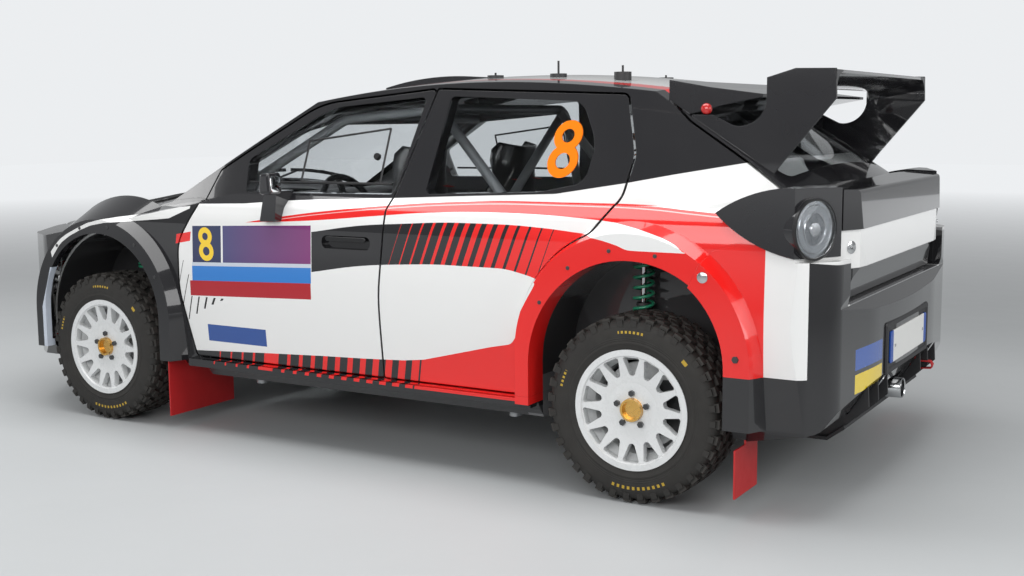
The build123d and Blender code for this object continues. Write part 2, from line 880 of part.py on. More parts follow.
def underguard():
    half = [(1900, 0), (1860, 300, 40), (1780, 430, 40), (820, 455), (820, 0)]
    plate = plan_prism(rounded(doubled(half, 1)), 200, 212)
    return plate


# Inside


def roll_cage():
    bar = 20.0
    hoop = bent_tube(
        [(-330, 700, 290), (-330, 690, 900), (-330, 540, 1335), (-330, -540, 1335), (-330, -690, 900), (-330, -700, 290)],
        90,
        bar,
    )
    cage = hoop
    front = bent_tube([(-330, 500, 1335), (120, 505, 1300), (560, 600, 1040), (600, 660, 290)], 120, bar)
    stay = rod((-330, 480, 1330), (-1230, 500, 290), bar)
    cage += both_sides(front + stay)
    cage += rod((120, 500, 1297), (120, -500, 1297), bar)
    cage += rod((-330, 690, 700), (600, 655, 420), bar)
    cage += rod((-330, -690, 700), (600, -655, 420), bar)
    cage += rod((-330, 650, 420), (-330, -520, 1320), bar)
    return cage & block((TAIL_X, NOSE_X), (-OUTSIDE, OUTSIDE), (CABIN_FLOOR + SEAT_GAP, ROOF_Z))


SEAT_Y = 370.0


def seats():
    side = outline(
        (190, 400),
        (200, 470),
        (120, 455),
        ((-60, 440), (-110, 520)),
        (-210, 1080),
        (-225, 1180),
        (-262, 1180),
        (-250, 1060),
        ((-160, 470), (-120, 400)),
    )
    pan = side_prism(side, -205, 205)
    wing = outline(
        (200, 400),
        (205, 500),
        ((60, 560), (-60, 600)),
        (-120, 900),
        (-90, 1000),
        (-140, 1180),
        (-262, 1180),
        (-250, 1060),
        ((-160, 470), (-120, 400)),
    )
    sides = both_sides(side_prism(wing, 205, 228))
    foot = block((-120, 190), (-225, 225), (CABIN_FLOOR + SEAT_GAP, 400)) - block((-90, 160), (-190, 190), (0, 500))
    seat = pan + sides + foot
    return Pos(0, SEAT_Y, 0) * seat + Pos(0, -SEAT_Y, 0) * seat


def dashboard():
    back = CABIN_FRONT - SEAT_GAP
    face = outline((430, 860), ((450, 960), (560, 972)), (back, 972), (back, 700), (560, 700))
    dash = side_prism(face, -575, 575)
    turn = math.radians(COLUMN_TILT)
    reach = Vector(math.cos(turn), 0, -math.sin(turn))
    start = Vector(*WHEEL_POINT) + reach * 40
    column = rod(start, start + reach * 270, 24)
    return dash + column


def wheel_axis_plane():
    turn = math.radians(COLUMN_TILT)
    return Plane(origin=WHEEL_POINT, x_dir=(0, 1, 0), z_dir=(-math.cos(turn), 0, math.sin(turn)))


def steering_wheel():
    plane = wheel_axis_plane()
    rim = plane * Torus(165, 14)
    spokes = extrude(plane.offset(-5) * (Rectangle(330, 34) + Pos(0, -82) * Rectangle(34, 165)), 8)
    hub = extrude(plane.offset(-39.5) * Circle(30), 45)
    return rim + spokes + hub


ENGINE_X = (1290.0, 1640.0)
ENGINE_Z = (300.0, 740.0)
GEARBOX_X = 1100.0


def engine_block():
    return block(ENGINE_X, (-380, 380), ENGINE_Z)


def exhaust():
    path = [(GEARBOX_X - SEAT_GAP, 0, 345), (1010, 0, 345), (930, 0, 305), (-1985, 0, 305)]
    return bent_tube(path, 60, 30)


# Running gear


# Cross members and side members of the subframe: limits in X, Y and Z
SUBFRAME = [
    ((860, 930), (-470, 470), (212, 255)),
    ((1090, 1280), (-360, 360), (212, 255)),
    ((1700, 1760), (-470, 470), (212, 255)),
    ((860, 1760), (330, 400), (212, 255)),
    ((860, 930), (423, 470), (212, RAIL_Z)),
    ((1700, 1760), (423, 470), (212, RAIL_Z)),
    ((1400, 1500), (330, 380), (212, ENGINE_Z[0] - SEAT_GAP)),
]
ARM_END = (FRONT_AXLE, 709.0, 181.0)


def front_subframe():
    """Subframe under the engine with the two arms that carry each front knuckle."""
    frame = None
    for x, y, z in SUBFRAME:
        piece = both_sides(block(x, y, z))
        frame = piece if frame is None else frame + piece
    frame -= block((1130, 1240), (-300, 300), (200, 300))
    for x in [1110, 1270]:
        frame += both_sides(rod((x, 385, 236), ARM_END, 11))
    end = Pos(*ARM_END) * Cylinder(24, 20)
    return frame + both_sides(end)


def ring_about_axle(inner, outer, y_low, y_high):
    """Ring about the wheel's axis, at the origin."""
    face = Circle(outer) - Circle(inner) if inner else Circle(outer)
    return extrude(Plane.XZ.offset(-y_high) * face, y_high - y_low)


def upright():
    """Knuckle about the wheel centre: bearing housing, upright and brake caliper."""
    low = ring_about_axle(30.4, 58, -135, -75)
    arm = block((-30, 30), (-140, -110), (-110, 150)) - ring_about_axle(0, 32, -150, -50)
    caliper = ring_about_axle(96, 158, -60, 16) & block((-170, -60), (-100, 100), (-95, 95))
    caliper -= ring_about_axle(0, DISC_RADIUS + 5, -35, 3)
    bracket = block((-130, -20), (-132, -60), (-28, 28)) - ring_about_axle(0, 50, -200, 0)
    bracket &= block((-130, -20), (-132, -38), (-40, 40))
    return low + arm + caliper + bracket


def strut_clamp():
    return block((FRONT_AXLE - 34, FRONT_AXLE + 34), (584, 664), (430, 472))


def front_knuckle():
    body = Pos(FRONT_AXLE, WHEEL_Y, TYRE_RADIUS) * upright()
    body += block((FRONT_AXLE - 24, FRONT_AXLE + 24), (640, 735), (212, 234))
    body += rod((FRONT_AXLE - 44, 648, 300), (FRONT_AXLE - 130, 640, 300), 13)
    return body + strut_clamp()


# Share of the way up a strut where each piece starts and ends, outer radius
STRUT_PARTS = [(0.0, 0.62, 25.0), (0.6, 1.0, 11.0), (0.5, 0.515, 42.0), (0.955, 0.97, 42.0)]
COIL = (0.514, 0.956, 37.0, 29.0)


def strut(foot, top):
    """Damper with its coil between two seats, from a foot to a top, all on one line."""
    line = Line(foot, top)
    low, high, outer, inner = COIL
    body = rod(line @ low, line @ high, outer) - rod(foot, top, inner)
    for start, end, radius in STRUT_PARTS:
        body += rod(line @ start, line @ end, radius)
    return body


def front_strut():
    """Strut clamped in the knuckle, its top bearing under the tower."""
    body = strut((FRONT_AXLE, 612, 440), STRUT_TOP)
    body += extrude(kingpin_plane(STRUT_TOP).offset(-12) * Circle(60), 12)
    body -= extrude(kingpin_plane(STRUT_TOP) * Circle(200), 100)
    return body - strut_clamp()


def rear_suspension():
    body = Pos(REAR_AXLE, WHEEL_Y, TYRE_RADIUS) * upright()
    left = body
    for x, lead in [(REAR_AXLE - 90, -60), (REAR_AXLE + 90, 60)]:
        left += rod((x, 230, 224), (REAR_AXLE + lead * 0.3, 650, 215), 12)
    left += block((REAR_AXLE - 60, REAR_AXLE + 60), (636, 662), (190, 240))
    left += block((REAR_AXLE - 40, REAR_AXLE + 110), (600, 640), (395, 430))
    frame = block((REAR_AXLE - 120, REAR_AXLE + 120), (-260, 260), (208, FLOOR_Z))
    return both_sides(left) + frame


REAR_STRUT_X = REAR_AXLE + 72.0


def rear_struts():
    """Struts from the rear arms up to the roofs of the wheel houses."""
    body = strut((REAR_STRUT_X, 618, 430), (REAR_STRUT_X, 618, 905))
    body &= side_prism(rounded(arch_corners(*WELL["rear"], 0)), 0, OUTSIDE)
    return both_sides(body)


def drive_shafts():
    """Gearbox with its shafts to the front wheels, and the stubs of the rear shafts."""
    axle = (FRONT_AXLE, TYRE_RADIUS)
    front = None
    for start, end, radius in [(190, 625, 14), (190, 260, 30), (515, 605, 34)]:
        piece = rod((axle[0], start, axle[1]), (axle[0], end, axle[1]), radius)
        front = piece if front is None else front + piece
    gearbox = block((GEARBOX_X, ENGINE_X[0] - SEAT_GAP), (-200, 200), (ENGINE_Z[0], 420))
    rear = rod((REAR_AXLE, WELL_Y["rear"] + SEAT_GAP, TYRE_RADIUS), (REAR_AXLE, 634.7, TYRE_RADIUS), 28)
    return both_sides(front + rear) + gearbox


# Wheels


def tyre():
    half = TYRE_HALF
    section = Polyline(
        (half - 10, BEAD_RADIUS + SEAT_GAP),
        (half, 258),
        (half - 3, 300),
        (half - 20, TYRE_RADIUS),
        (-half + 20, TYRE_RADIUS),
        (-half + 3, 300),
        (-half, 258),
        (-half + 10, BEAD_RADIUS + SEAT_GAP),
        close=True,
    )
    ring = revolve(Plane.YZ * make_face(section), Axis.Y, 360)
    return ring


def rim():
    half = LIP_HALF
    seat = BEAD_RADIUS
    section = Polyline(
        (-half, seat - RIM_WALL),
        (-half, LIP_RADIUS),
        (-half + 4, LIP_RADIUS),
        (-half + 4, seat),
        (-60, seat),
        (-45, 172),
        (30, 172),
        (50, seat),
        (half - 4, seat),
        (half - 4, LIP_RADIUS),
        (half, LIP_RADIUS),
        (half, seat - 4),
        (half - 8, seat - RIM_WALL),
        (68, seat - RIM_WALL),
        (40, 164),
        (-50, 164),
        (-65, seat - RIM_WALL),
        close=True,
    )
    barrel = revolve(Plane.YZ * make_face(section), Axis.Y, 360)
    dish = Polyline(
        (56, 0),
        (86, 0),
        (86, HUB_RADIUS),
        (99, seat - RIM_WALL + 1),
        (72, seat - RIM_WALL + 1),
        (58, HUB_RADIUS),
        (56, HUB_RADIUS - 4),
        close=True,
    )
    face = revolve(Plane.YZ * make_face(dish), Axis.Y, 360)
    face -= spoke_windows()
    wheel = barrel + face
    wheel += ring_about_axle(31, 39, 84, 103)
    wheel += ring_about_axle(0, 39, 84, 90)
    for place in PolarLocations(STUD_CIRCLE, STUDS, start_angle=90):
        wheel += extrude(Plane.XZ.offset(-98) * place * RegularPolygon(11, 6), 14)
    wheel += ring_about_axle(0, 30, -132, 57)
    wheel += ring_about_axle(0, 74, 30, 57)
    wheel += ring_about_axle(0, 74, -30, -2)
    wheel += ring_about_axle(60, DISC_RADIUS, -30, -2)
    return wheel


def spoke_windows():
    inner_r = 117.0
    outer_r = 180.0
    pitch = 2 * math.pi / SPOKES
    half_in = 13.0
    half_out = outer_r * pitch / 2 - 10.5
    window = outline(
        (half_in, inner_r + 12),
        (half_out, outer_r - 8),
        ((half_out - 3, outer_r - 2), (half_out - 9, outer_r)),
        (-half_out + 9, outer_r),
        ((-half_out + 3, outer_r - 2), (-half_out, outer_r - 8)),
        (-half_in, inner_r + 12),
        ((0, inner_r), (half_in, inner_r + 12)),
    )
    cutters = None
    for place in PolarLocations(0, SPOKES):
        cutter = extrude(Plane.XZ.offset(-130) * place * window, 90)
        cutters = cutter if cutters is None else cutters + cutter
    return cutters


def at_wheel(solid, end, side):
    """A left wheel's piece put at its axle, mirrored for the right."""
    x = FRONT_AXLE if end == "front" else REAR_AXLE
    placed = Pos(x, WHEEL_Y, TYRE_RADIUS) * solid
    return placed if side == "left" else mirrored(placed)


# Export


def save(name, solid):
    export_step(solid, f"parts/{name}.step")


def main():
    for name, solid in body_nodes().items():
        save(name, solid)
    save("jack_sockets", jack_sockets())
    save("front_wings", front_wings())
    save("front_bumper", front_bumper())
    save("grille", grille())
    save("headlamps", headlamps())
    save("bonnet", bonnet())
    save("rear_bumper", rear_bumper())
    save("diffuser", diffuser())
    save("tail_lamps", tail_lamps())
    save("tailgate", tailgate())
    save("tailgate_glass", slope_glass(HATCH_FOOT, HATCH_HEAD, HATCH_HALF))
    save("windscreen", slope_glass(SCREEN_FOOT, SCREEN_HEAD, SCREEN_HALF))
    save("rear_wing", rear_wing())
    front_door = door(front_door_outline(), front_window_outline())
    front_door -= side_prism(rounded(HANDLE_RECESS), 828, OUTSIDE)
    rear_door = door(rear_door_outline(), rear_window_outline())
    front_glass = door_glass(front_window_outline())
    rear_glass = door_glass(rear_window_outline())
    pod = mirror_pod()
    for side, turn in [("left", as_drawn), ("right", mirrored)]:
        save(f"front_door_{side}", turn(front_door))
        save(f"rear_door_{side}", turn(rear_door))
        save(f"front_glass_{side}", turn(front_glass))
        save(f"rear_glass_{side}", turn(rear_glass))
        save(f"mirror_{side}", turn(pod))
        save(f"front_knuckle_{side}", turn(front_knuckle()))
        save(f"front_strut_{side}", turn(front_strut()))
    save("side_skirts", side_skirts())
    save("mud_flaps", mud_flaps())
    save("roof_scoop", roof_scoop())
    save("roof_aerials", roof_aerials())
    save("underguard", underguard())
    save("roll_cage", roll_cage())
    save("seats", seats())
    save("dashboard", dashboard())
    save("steering_wheel", steering_wheel())
    save("engine_block", engine_block())
    save("exhaust", exhaust())
    save("front_subframe", front_subframe())
    save("rear_suspension", rear_suspension())
    save("rear_struts", rear_struts())
    save("drive_shafts", drive_shafts())
    wheel = rim()
    rubber = tyre()
    for end in ["front", "rear"]:
        for side in ["left", "right"]:
            save(f"wheel_{end}_{side}", at_wheel(wheel, end, side))
            save(f"tyre_{end}_{side}", at_wheel(rubber, end, side))


main()
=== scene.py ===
import bmesh
import bpy
import math
from mathutils import Matrix, Vector
from mathutils.bvhtree import BVHTree


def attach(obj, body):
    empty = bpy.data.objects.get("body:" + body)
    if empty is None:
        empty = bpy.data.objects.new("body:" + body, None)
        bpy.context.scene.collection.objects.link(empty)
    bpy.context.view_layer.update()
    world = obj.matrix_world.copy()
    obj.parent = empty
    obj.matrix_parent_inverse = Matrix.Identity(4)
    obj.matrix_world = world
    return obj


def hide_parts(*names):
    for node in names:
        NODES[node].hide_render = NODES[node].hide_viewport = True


# The rally car's looks, in metres: +X forward, +Y to the car's left, +Z up.

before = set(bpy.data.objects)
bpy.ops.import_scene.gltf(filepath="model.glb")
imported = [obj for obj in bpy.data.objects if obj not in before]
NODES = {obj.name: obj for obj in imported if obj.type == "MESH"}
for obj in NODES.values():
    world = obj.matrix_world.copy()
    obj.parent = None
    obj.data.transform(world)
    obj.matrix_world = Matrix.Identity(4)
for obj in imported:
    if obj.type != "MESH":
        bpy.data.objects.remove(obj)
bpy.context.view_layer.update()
SIDES = {"left": 1, "right": -1}

# Colours as they should render

WHITE = (0.80, 0.80, 0.79)
BLACK = (0.010, 0.010, 0.012)
RED = (0.78, 0.012, 0.010)
NAVY = (0.012, 0.022, 0.085)
PURPLE = (0.055, 0.055, 0.170)
PLUM = (0.20, 0.030, 0.160)
PALE = (0.55, 0.60, 0.68)
YELLOW = (0.90, 0.60, 0.02)
ORANGE = (0.90, 0.20, 0.01)
GOLD = (0.72, 0.42, 0.10)
LINER_GREY = (0.035, 0.035, 0.037)
CABIN_GREY = (0.16, 0.16, 0.165)
SKY = (0.93, 0.95, 0.97)

# Wheels, how far the seats lie from the middle, and the wheel houses as x, z and radius

AXLE_Z = 0.322
AXLE_X = {"front": 1.198, "rear": -1.342}
WHEEL_Y = 0.775
SEAT_Y = 0.370
HOUSES = [(AXLE_X["front"], 0.425, 0.395), (AXLE_X["rear"], 0.450, 0.380)]

# Limits of the flank, and the places on it that several paints share

FLANK_X = (-1.85, 1.65)
FLANK_Z = (0.25, 1.25)
DOOR_FRONT_X = 0.80
DOOR_SEAM_X = 0.037
CORNER_X = -1.795
STRIPE_TIP = (0.379, 0.893)
HOUSE_Y = 0.80
CABIN_Y = 0.62

# Borders on the flank, as (x, z) from front to rear

BELT = [
    (DOOR_FRONT_X, 0.955), (0.40, 0.967), (0.20, 0.983), (0.0, 0.993), (-0.345, 1.006), (-0.60, 1.018),
    (-1.0, 1.035), (-1.257, 1.076), (-1.411, 1.105), (-1.655, 1.147), (-1.67, 1.145), (-1.80, 1.057),
]
STRIPE_TOP = [
    STRIPE_TIP, (0.20, 0.921), (0.0, 0.947), (-0.30, 0.977), (-0.60, 0.998), (-0.90, 1.007),
    (-1.20, 1.007), (-1.40, 1.002), (-1.50, 0.995), (-1.65, 0.985),
]
STRIPE_FOOT = [
    STRIPE_TIP, (0.20, 0.902), (0.0, 0.915), (-0.30, 0.942), (-0.50, 0.958), (-0.80, 0.967),
    (-1.10, 0.960), (-1.30, 0.944), (-1.40, 0.926), (-1.50, 0.893), (-1.543, 0.864),
]
BAND_FOOT = [
    (DOOR_SEAM_X, 0.868), (-0.20, 0.901), (-0.40, 0.915), (-0.60, 0.926), (-0.80, 0.927), (-1.0, 0.920),
    (-1.10, 0.912), (-1.20, 0.902), (-1.30, 0.880), (-1.345, 0.865), (-1.40, 0.864), (-1.60, 0.864),
]
SWOOSH_FOOT = [
    (DOOR_SEAM_X, 0.712), (-0.20, 0.748), (-0.40, 0.764), (-0.60, 0.772), (-0.80, 0.772), (-0.918, 0.756),
    (-0.993, 0.734),
]
FIELD_FOOT = [
    (DOOR_FRONT_X, 0.338), (0.679, 0.346), (0.30, 0.367), (0.0, 0.382), (-0.20, 0.390), (-0.385, 0.400),
    (-0.477, 0.411), (-0.61, 0.444), (-0.774, 0.485), (-0.862, 0.503), (-0.889, 0.541), (-0.918, 0.608),
    (-0.959, 0.680), (-0.993, 0.734), (-1.01, 1.2),
]

# White band over the front wing

WING_TOP = [
    (0.69, 0.950), (0.842, 0.932), (0.931, 0.914), (1.089, 0.894), (1.161, 0.881), (1.232, 0.866),
    (1.305, 0.839), (1.370, 0.812), (1.412, 0.789), (1.446, 0.762), (1.60, 0.60),
]
WING_FOOT = [
    (0.69, 0.940), (0.802, 0.896), (0.851, 0.891), (1.017, 0.877), (1.127, 0.870), (1.215, 0.855),
    (1.287, 0.831), (1.352, 0.804), (1.400, 0.777), (1.424, 0.757), (1.58, 0.58),
]

# Camera, light and floor. The camera's three turns are in degrees.

CAMERA_PLACE = (-3.145, 4.658, 1.299)
HEADING, RISE, ROLL = -59.12, -7.29, -0.48
FLOOR_HALF = 30.0

# Lights: place, target, size and power
LIGHTS = {
    "roof_light": ((0.0, 0.8, 4.6), (0, 0, 0.6), (6.0, 3.4), 230),
    "side_light": ((-1.2, 5.6, 2.6), (0, 0, 0.6), (5.5, 1.8), 140),
    "rear_light": ((-5.4, 0.6, 2.2), (-1.2, 0, 0.7), (3.4, 1.8), 80),
    "front_light": ((5.4, 1.0, 2.4), (1.0, 0, 0.7), (3.4, 1.6), 60),
}


def stand(name, data, place):
    """New object in the scene."""
    thing = bpy.data.objects.new(name, data)
    bpy.context.scene.collection.objects.link(thing)
    thing.location = place
    return thing


def aim(yaw, pitch, roll):
    """Camera turn that looks along a heading in the floor plane, a rise over it and a roll."""
    ahead = Vector((math.cos(pitch) * math.cos(yaw), math.cos(pitch) * math.sin(yaw), math.sin(pitch)))
    right = ahead.cross(Vector((0, 0, 1))).normalized()
    above = right.cross(ahead)
    across = right * math.cos(roll) + above * math.sin(roll)
    upward = above * math.cos(roll) - right * math.sin(roll)
    return Matrix((across, upward, -ahead)).transposed().to_euler()


def make_camera():
    data = bpy.data.cameras.new("camera")
    data.lens = 44.63
    data.sensor_width = 36.0
    data.shift_y = -0.0073
    data.clip_end = 200.0
    camera = stand("camera", data, CAMERA_PLACE)
    camera.rotation_euler = aim(*(math.radians(angle) for angle in (HEADING, RISE, ROLL)))
    bpy.context.scene.camera = camera


def make_studio():
    """Pale surroundings and soft lights."""
    scene = bpy.context.scene
    scene.view_settings.view_transform = "Standard"
    scene.world = bpy.data.worlds.new("studio")
    scene.world.use_nodes = True
    net = Net(scene.world.node_tree)
    rays = net.node("ShaderNodeLightPath")
    seen = net.out(rays, "Is Camera Ray") | net.out(rays, "Is Transmission Ray")
    glow = net.node("ShaderNodeBackground", Color=SKY, Strength=seen * 0.55 + 0.35)
    net.node("ShaderNodeOutputWorld", Surface=net.out(glow))
    for name, (place, target, size, power) in LIGHTS.items():
        data = bpy.data.lights.new(name, "AREA")
        data.shape = "RECTANGLE"
        data.size, data.size_y = size
        data.energy = power
        light = stand(name, data, place)
        light.rotation_euler = (Vector(target) - Vector(place)).to_track_quat("-Z", "Y").to_euler()


def make_floor():
    """Smooth grey floor that fades into the pale surroundings with distance."""
    net, shader = surface("floor", Emission_Color=SKY)
    x, y, z = net.place()
    far = (distance(x, y, (0, 0)) * 0.070 - 0.25).most(0.0).least(1.0)
    grey = net.mix(net.noise(1.5, 4.0), (0.46, 0.475, 0.48), (0.43, 0.445, 0.45))
    net.set(shader, Base_Color=net.mix(far, grey, (0.0, 0.0, 0.0)), Emission_Strength=far * 0.85,
            Roughness=net.noise(6.0).spread(0.48, 0.60))
    mesh = bpy.data.meshes.new("floor")
    mesh.from_pydata([(x, y, 0) for x, y in rectangle(FLOOR_HALF, FLOOR_HALF)], [], [(0, 1, 2, 3)])
    mesh.materials.append(LOOKS["floor"][0])
    stand("floor", mesh, (0, 0, 0))


# Shapes: each is a pair of lists, its points and its faces


def joined(*shapes):
    points, faces = [], []
    for spots, sides in shapes:
        base = len(points)
        points.extend(spots)
        faces.extend(tuple(i + base for i in face) for face in sides)
    return points, faces


def moved(shape, matrix):
    return [tuple(matrix @ Vector(p)) for p in shape[0]], shape[1]


def shifted(shape, x, y, z):
    return [(p[0] + x, p[1] + y, p[2] + z) for p in shape[0]], shape[1]


def sided(shape, side):
    """A shape of the left side, mirrored for the right one."""
    if side == "left":
        return shape
    return [(x, -y, z) for x, y, z in shape[0]], [tuple(reversed(face)) for face in shape[1]]


def loft(rings, loop=False, caps=True):
    """Skin over rings with equal numbers of points."""
    count = len(rings[0])
    points = [tuple(p) for ring in rings for p in ring]
    faces = []
    for i in range(len(rings) if loop else len(rings) - 1):
        here, there = i * count, (i + 1) % len(rings) * count
        for j in range(count):
            k = (j + 1) % count
            faces.append((here + j, here + k, there + k, there + j))
    if caps and not loop:
        last = (len(rings) - 1) * count
        faces.append(tuple(reversed(range(count))))
        faces.append(tuple(range(last, last + count)))
    return points, faces


def sheet_of(rows):
    """Open skin over a grid of points."""
    wide = len(rows[0])
    faces = []
    for i in range(len(rows) - 1):
        for a in range(i * wide, i * wide + wide - 1):
            faces.append((a, a + 1, a + wide + 1, a + wide))
    return [tuple(p) for row in rows for p in row], faces


def closed_sheet(top, low):
    """Closed skin between two grids of points, one over the other."""
    edges = [rows[0] + [row[-1] for row in rows[1:]] + rows[-1][-2::-1] + [row[0] for row in rows[-2:0:-1]]
             for rows in (top, low)]
    return joined(sheet_of(top), sheet_of(low), loft(edges, caps=False))


def section_path(points, section, loop=False):
    """A section (across, up) swept along points, kept upright where it can be."""
    spots = [Vector(p) for p in points]
    rings = []
    side = None
    for i, spot in enumerate(spots):
        before = spots[i - 1] if i or loop else spot
        after = spots[(i + 1) % len(spots)] if loop or i < len(spots) - 1 else spot
        along = (after - before).normalized()
        if side is None:
            side = along.cross(Vector((0, 0, 1)))
            if side.length < 1e-3:
                side = Vector((0, 1, 0))
        side = (side - along * side.dot(along)).normalized()
        up = side.cross(along)
        rings.append([spot + side * a + up * b for a, b in section])
    return loft(rings, loop)


def steps(low, high, count):
    return [low + (high - low) * i / count for i in range(count + 1)]


def round_spots(radius, angles):
    return [(radius * math.cos(angle), radius * math.sin(angle)) for angle in angles]


def circle(radius, sides):
    return round_spots(radius, [2 * math.pi * i / sides for i in range(sides)])


def rectangle(half_wide, half_high):
    a, b = half_wide, half_high
    return [(-a, -b), (a, -b), (a, b), (-a, b)]


def tube(points, radius, sides=10, loop=False):
    return section_path(points, circle(radius, sides), loop)


def cylinder(start, end, radius, sides=24):
    return tube([start, end], radius, sides)


def lathe(profile, turns=48, loop=False):
    """Profile of (radius, height) turned about Z."""
    return loft([[(x, y, h) for x, y in circle(r, turns)] for r, h in profile], loop)


def lathe_at(profile, place, way, turns=32):
    return moved(lathe(profile, turns), facing_out(place, way))


def box(size, centre):
    a, b, c = (v / 2 for v in size)
    return shifted(loft([[(x, y, z) for x, y in rectangle(a, b)] for z in (-c, c)]), *centre)


def round_box(wide, high, radius, corner_steps=4):
    """Outline of a rectangle with rounded corners about the origin."""
    outline = []
    for turn, (a, b) in enumerate(((1, 1), (-1, 1), (-1, -1), (1, -1))):
        for i in range(corner_steps + 1):
            angle = math.pi / 2 * (turn + i / corner_steps)
            outline.append((a * (wide / 2 - radius) + radius * math.cos(angle),
                            b * (high / 2 - radius) + radius * math.sin(angle)))
    return outline


def plaque(radius, *layers):
    """Plate with rounded corners, from layers of (width, height, z)."""
    return loft([[(x, y, z) for x, y in round_box(wide, high, radius)] for wide, high, z in layers])


def hex_bolt(radius, height):
    return lathe([(radius, 0), (radius, height * 0.7), (radius * 0.8, height)], 6)


def disc(radius, height, sides=24):
    return lathe([(radius, -0.002), (radius, height * 0.6), (radius * 0.85, height)], sides)


def facing_out(point, way, up=(0, 0, 1)):
    """Matrix whose Z points along a way, at a point."""
    z = Vector(way).normalized()
    x = Vector(up).cross(z)
    x = x.normalized() if x.length > 1e-4 else Vector((1, 0, 0))
    y = z.cross(x)
    matrix = Matrix((x, y, z)).transposed().to_4x4()
    matrix.translation = Vector(point)
    return matrix


def piece(name, shape, look, body="root", bevel=0.0, smooth=40, thick=0.0):
    """New piece of the object, riding on a body."""
    material, own_slot = LOOKS[look]
    mesh = bpy.data.meshes.new(name)
    mesh.from_pydata([tuple(p) for p in shape[0]], [], shape[1])
    work = bmesh.new()
    work.from_mesh(mesh)
    bmesh.ops.recalc_face_normals(work, faces=work.faces)
    work.to_mesh(mesh)
    work.free()
    mesh.materials.append(material)
    mesh.shade_smooth()
    mesh.set_sharp_from_angle(angle=math.radians(smooth))
    thing = stand(name, mesh, (0, 0, 0))
    if thick:
        wall = thing.modifiers.new("wall", "SOLIDIFY")
        wall.thickness = thick
        wall.offset = 0.0
    if bevel:
        edge = thing.modifiers.new("edge", "BEVEL")
        edge.width = bevel
        edge.segments = 2
        edge.limit_method = "ANGLE"
        edge.angle_limit = math.radians(35)
    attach(thing, body)
    return thing


# Points on the CAD nodes, met by rays that start outside the car

SKINS = {}
BESIDE, OVERHEAD, AHEAD, BEHIND = 1.3, 2.0, 2.6, -2.4


def skin(node, start, way):
    """Point and normal where a ray first meets a CAD node."""
    if node not in SKINS:
        SKINS[node] = BVHTree.FromObject(NODES[node], bpy.context.evaluated_depsgraph_get())
    spot, normal, _, _ = SKINS[node].ray_cast(Vector(start), Vector(way).normalized())
    if spot is None:
        raise ValueError(f"{node} isn't met from {start}")
    return spot, normal


def from_side(node, x, z, k=1):
    """Point and normal on the outside of a node's left side, or of its right one where k is -1."""
    return skin(node, (x, BESIDE * k, z), (0, -k, 0))


def from_top(node, x, y):
    return skin(node, (x, y, OVERHEAD), (0, 0, -1))


def on_side(node, x, z, lift):
    """Point lifted off a node's left side."""
    spot, normal = from_side(node, x, z)
    return spot + normal * lift


def on_top(node, x, y, lift):
    spot, normal = from_top(node, x, y)
    return spot + normal * lift


# Material nodes


def math_node(operation):
    """Method of Value that runs one kind of math node."""
    def method(self, *others):
        return self.net.math(operation, self, *others)
    return method


class Value:
    """What a node gives. A comparison gives a mask of 0 or 1, & needs both masks and | needs either."""

    def __init__(self, net, socket):
        self.net = net
        self.socket = socket

    __add__ = math_node("ADD")
    __sub__ = math_node("SUBTRACT")
    __mul__ = math_node("MULTIPLY")
    __truediv__ = math_node("DIVIDE")
    __gt__ = math_node("GREATER_THAN")
    __lt__ = math_node("LESS_THAN")
    __and__ = math_node("MULTIPLY")
    __or__ = math_node("MAXIMUM")
    __abs__ = math_node("ABSOLUTE")
    most = math_node("MAXIMUM")
    least = math_node("MINIMUM")
    sign = math_node("SIGN")
    root = math_node("SQRT")
    sine = math_node("SINE")
    fraction = math_node("FRACT")

    def __rsub__(self, number):
        return self.net.math("SUBTRACT", number, self)

    def within(self, low, high):
        return (self > low) & (self < high)

    def spread(self, low, high):
        """A value from 0 to 1 spread between two limits."""
        return self * (high - low) + low


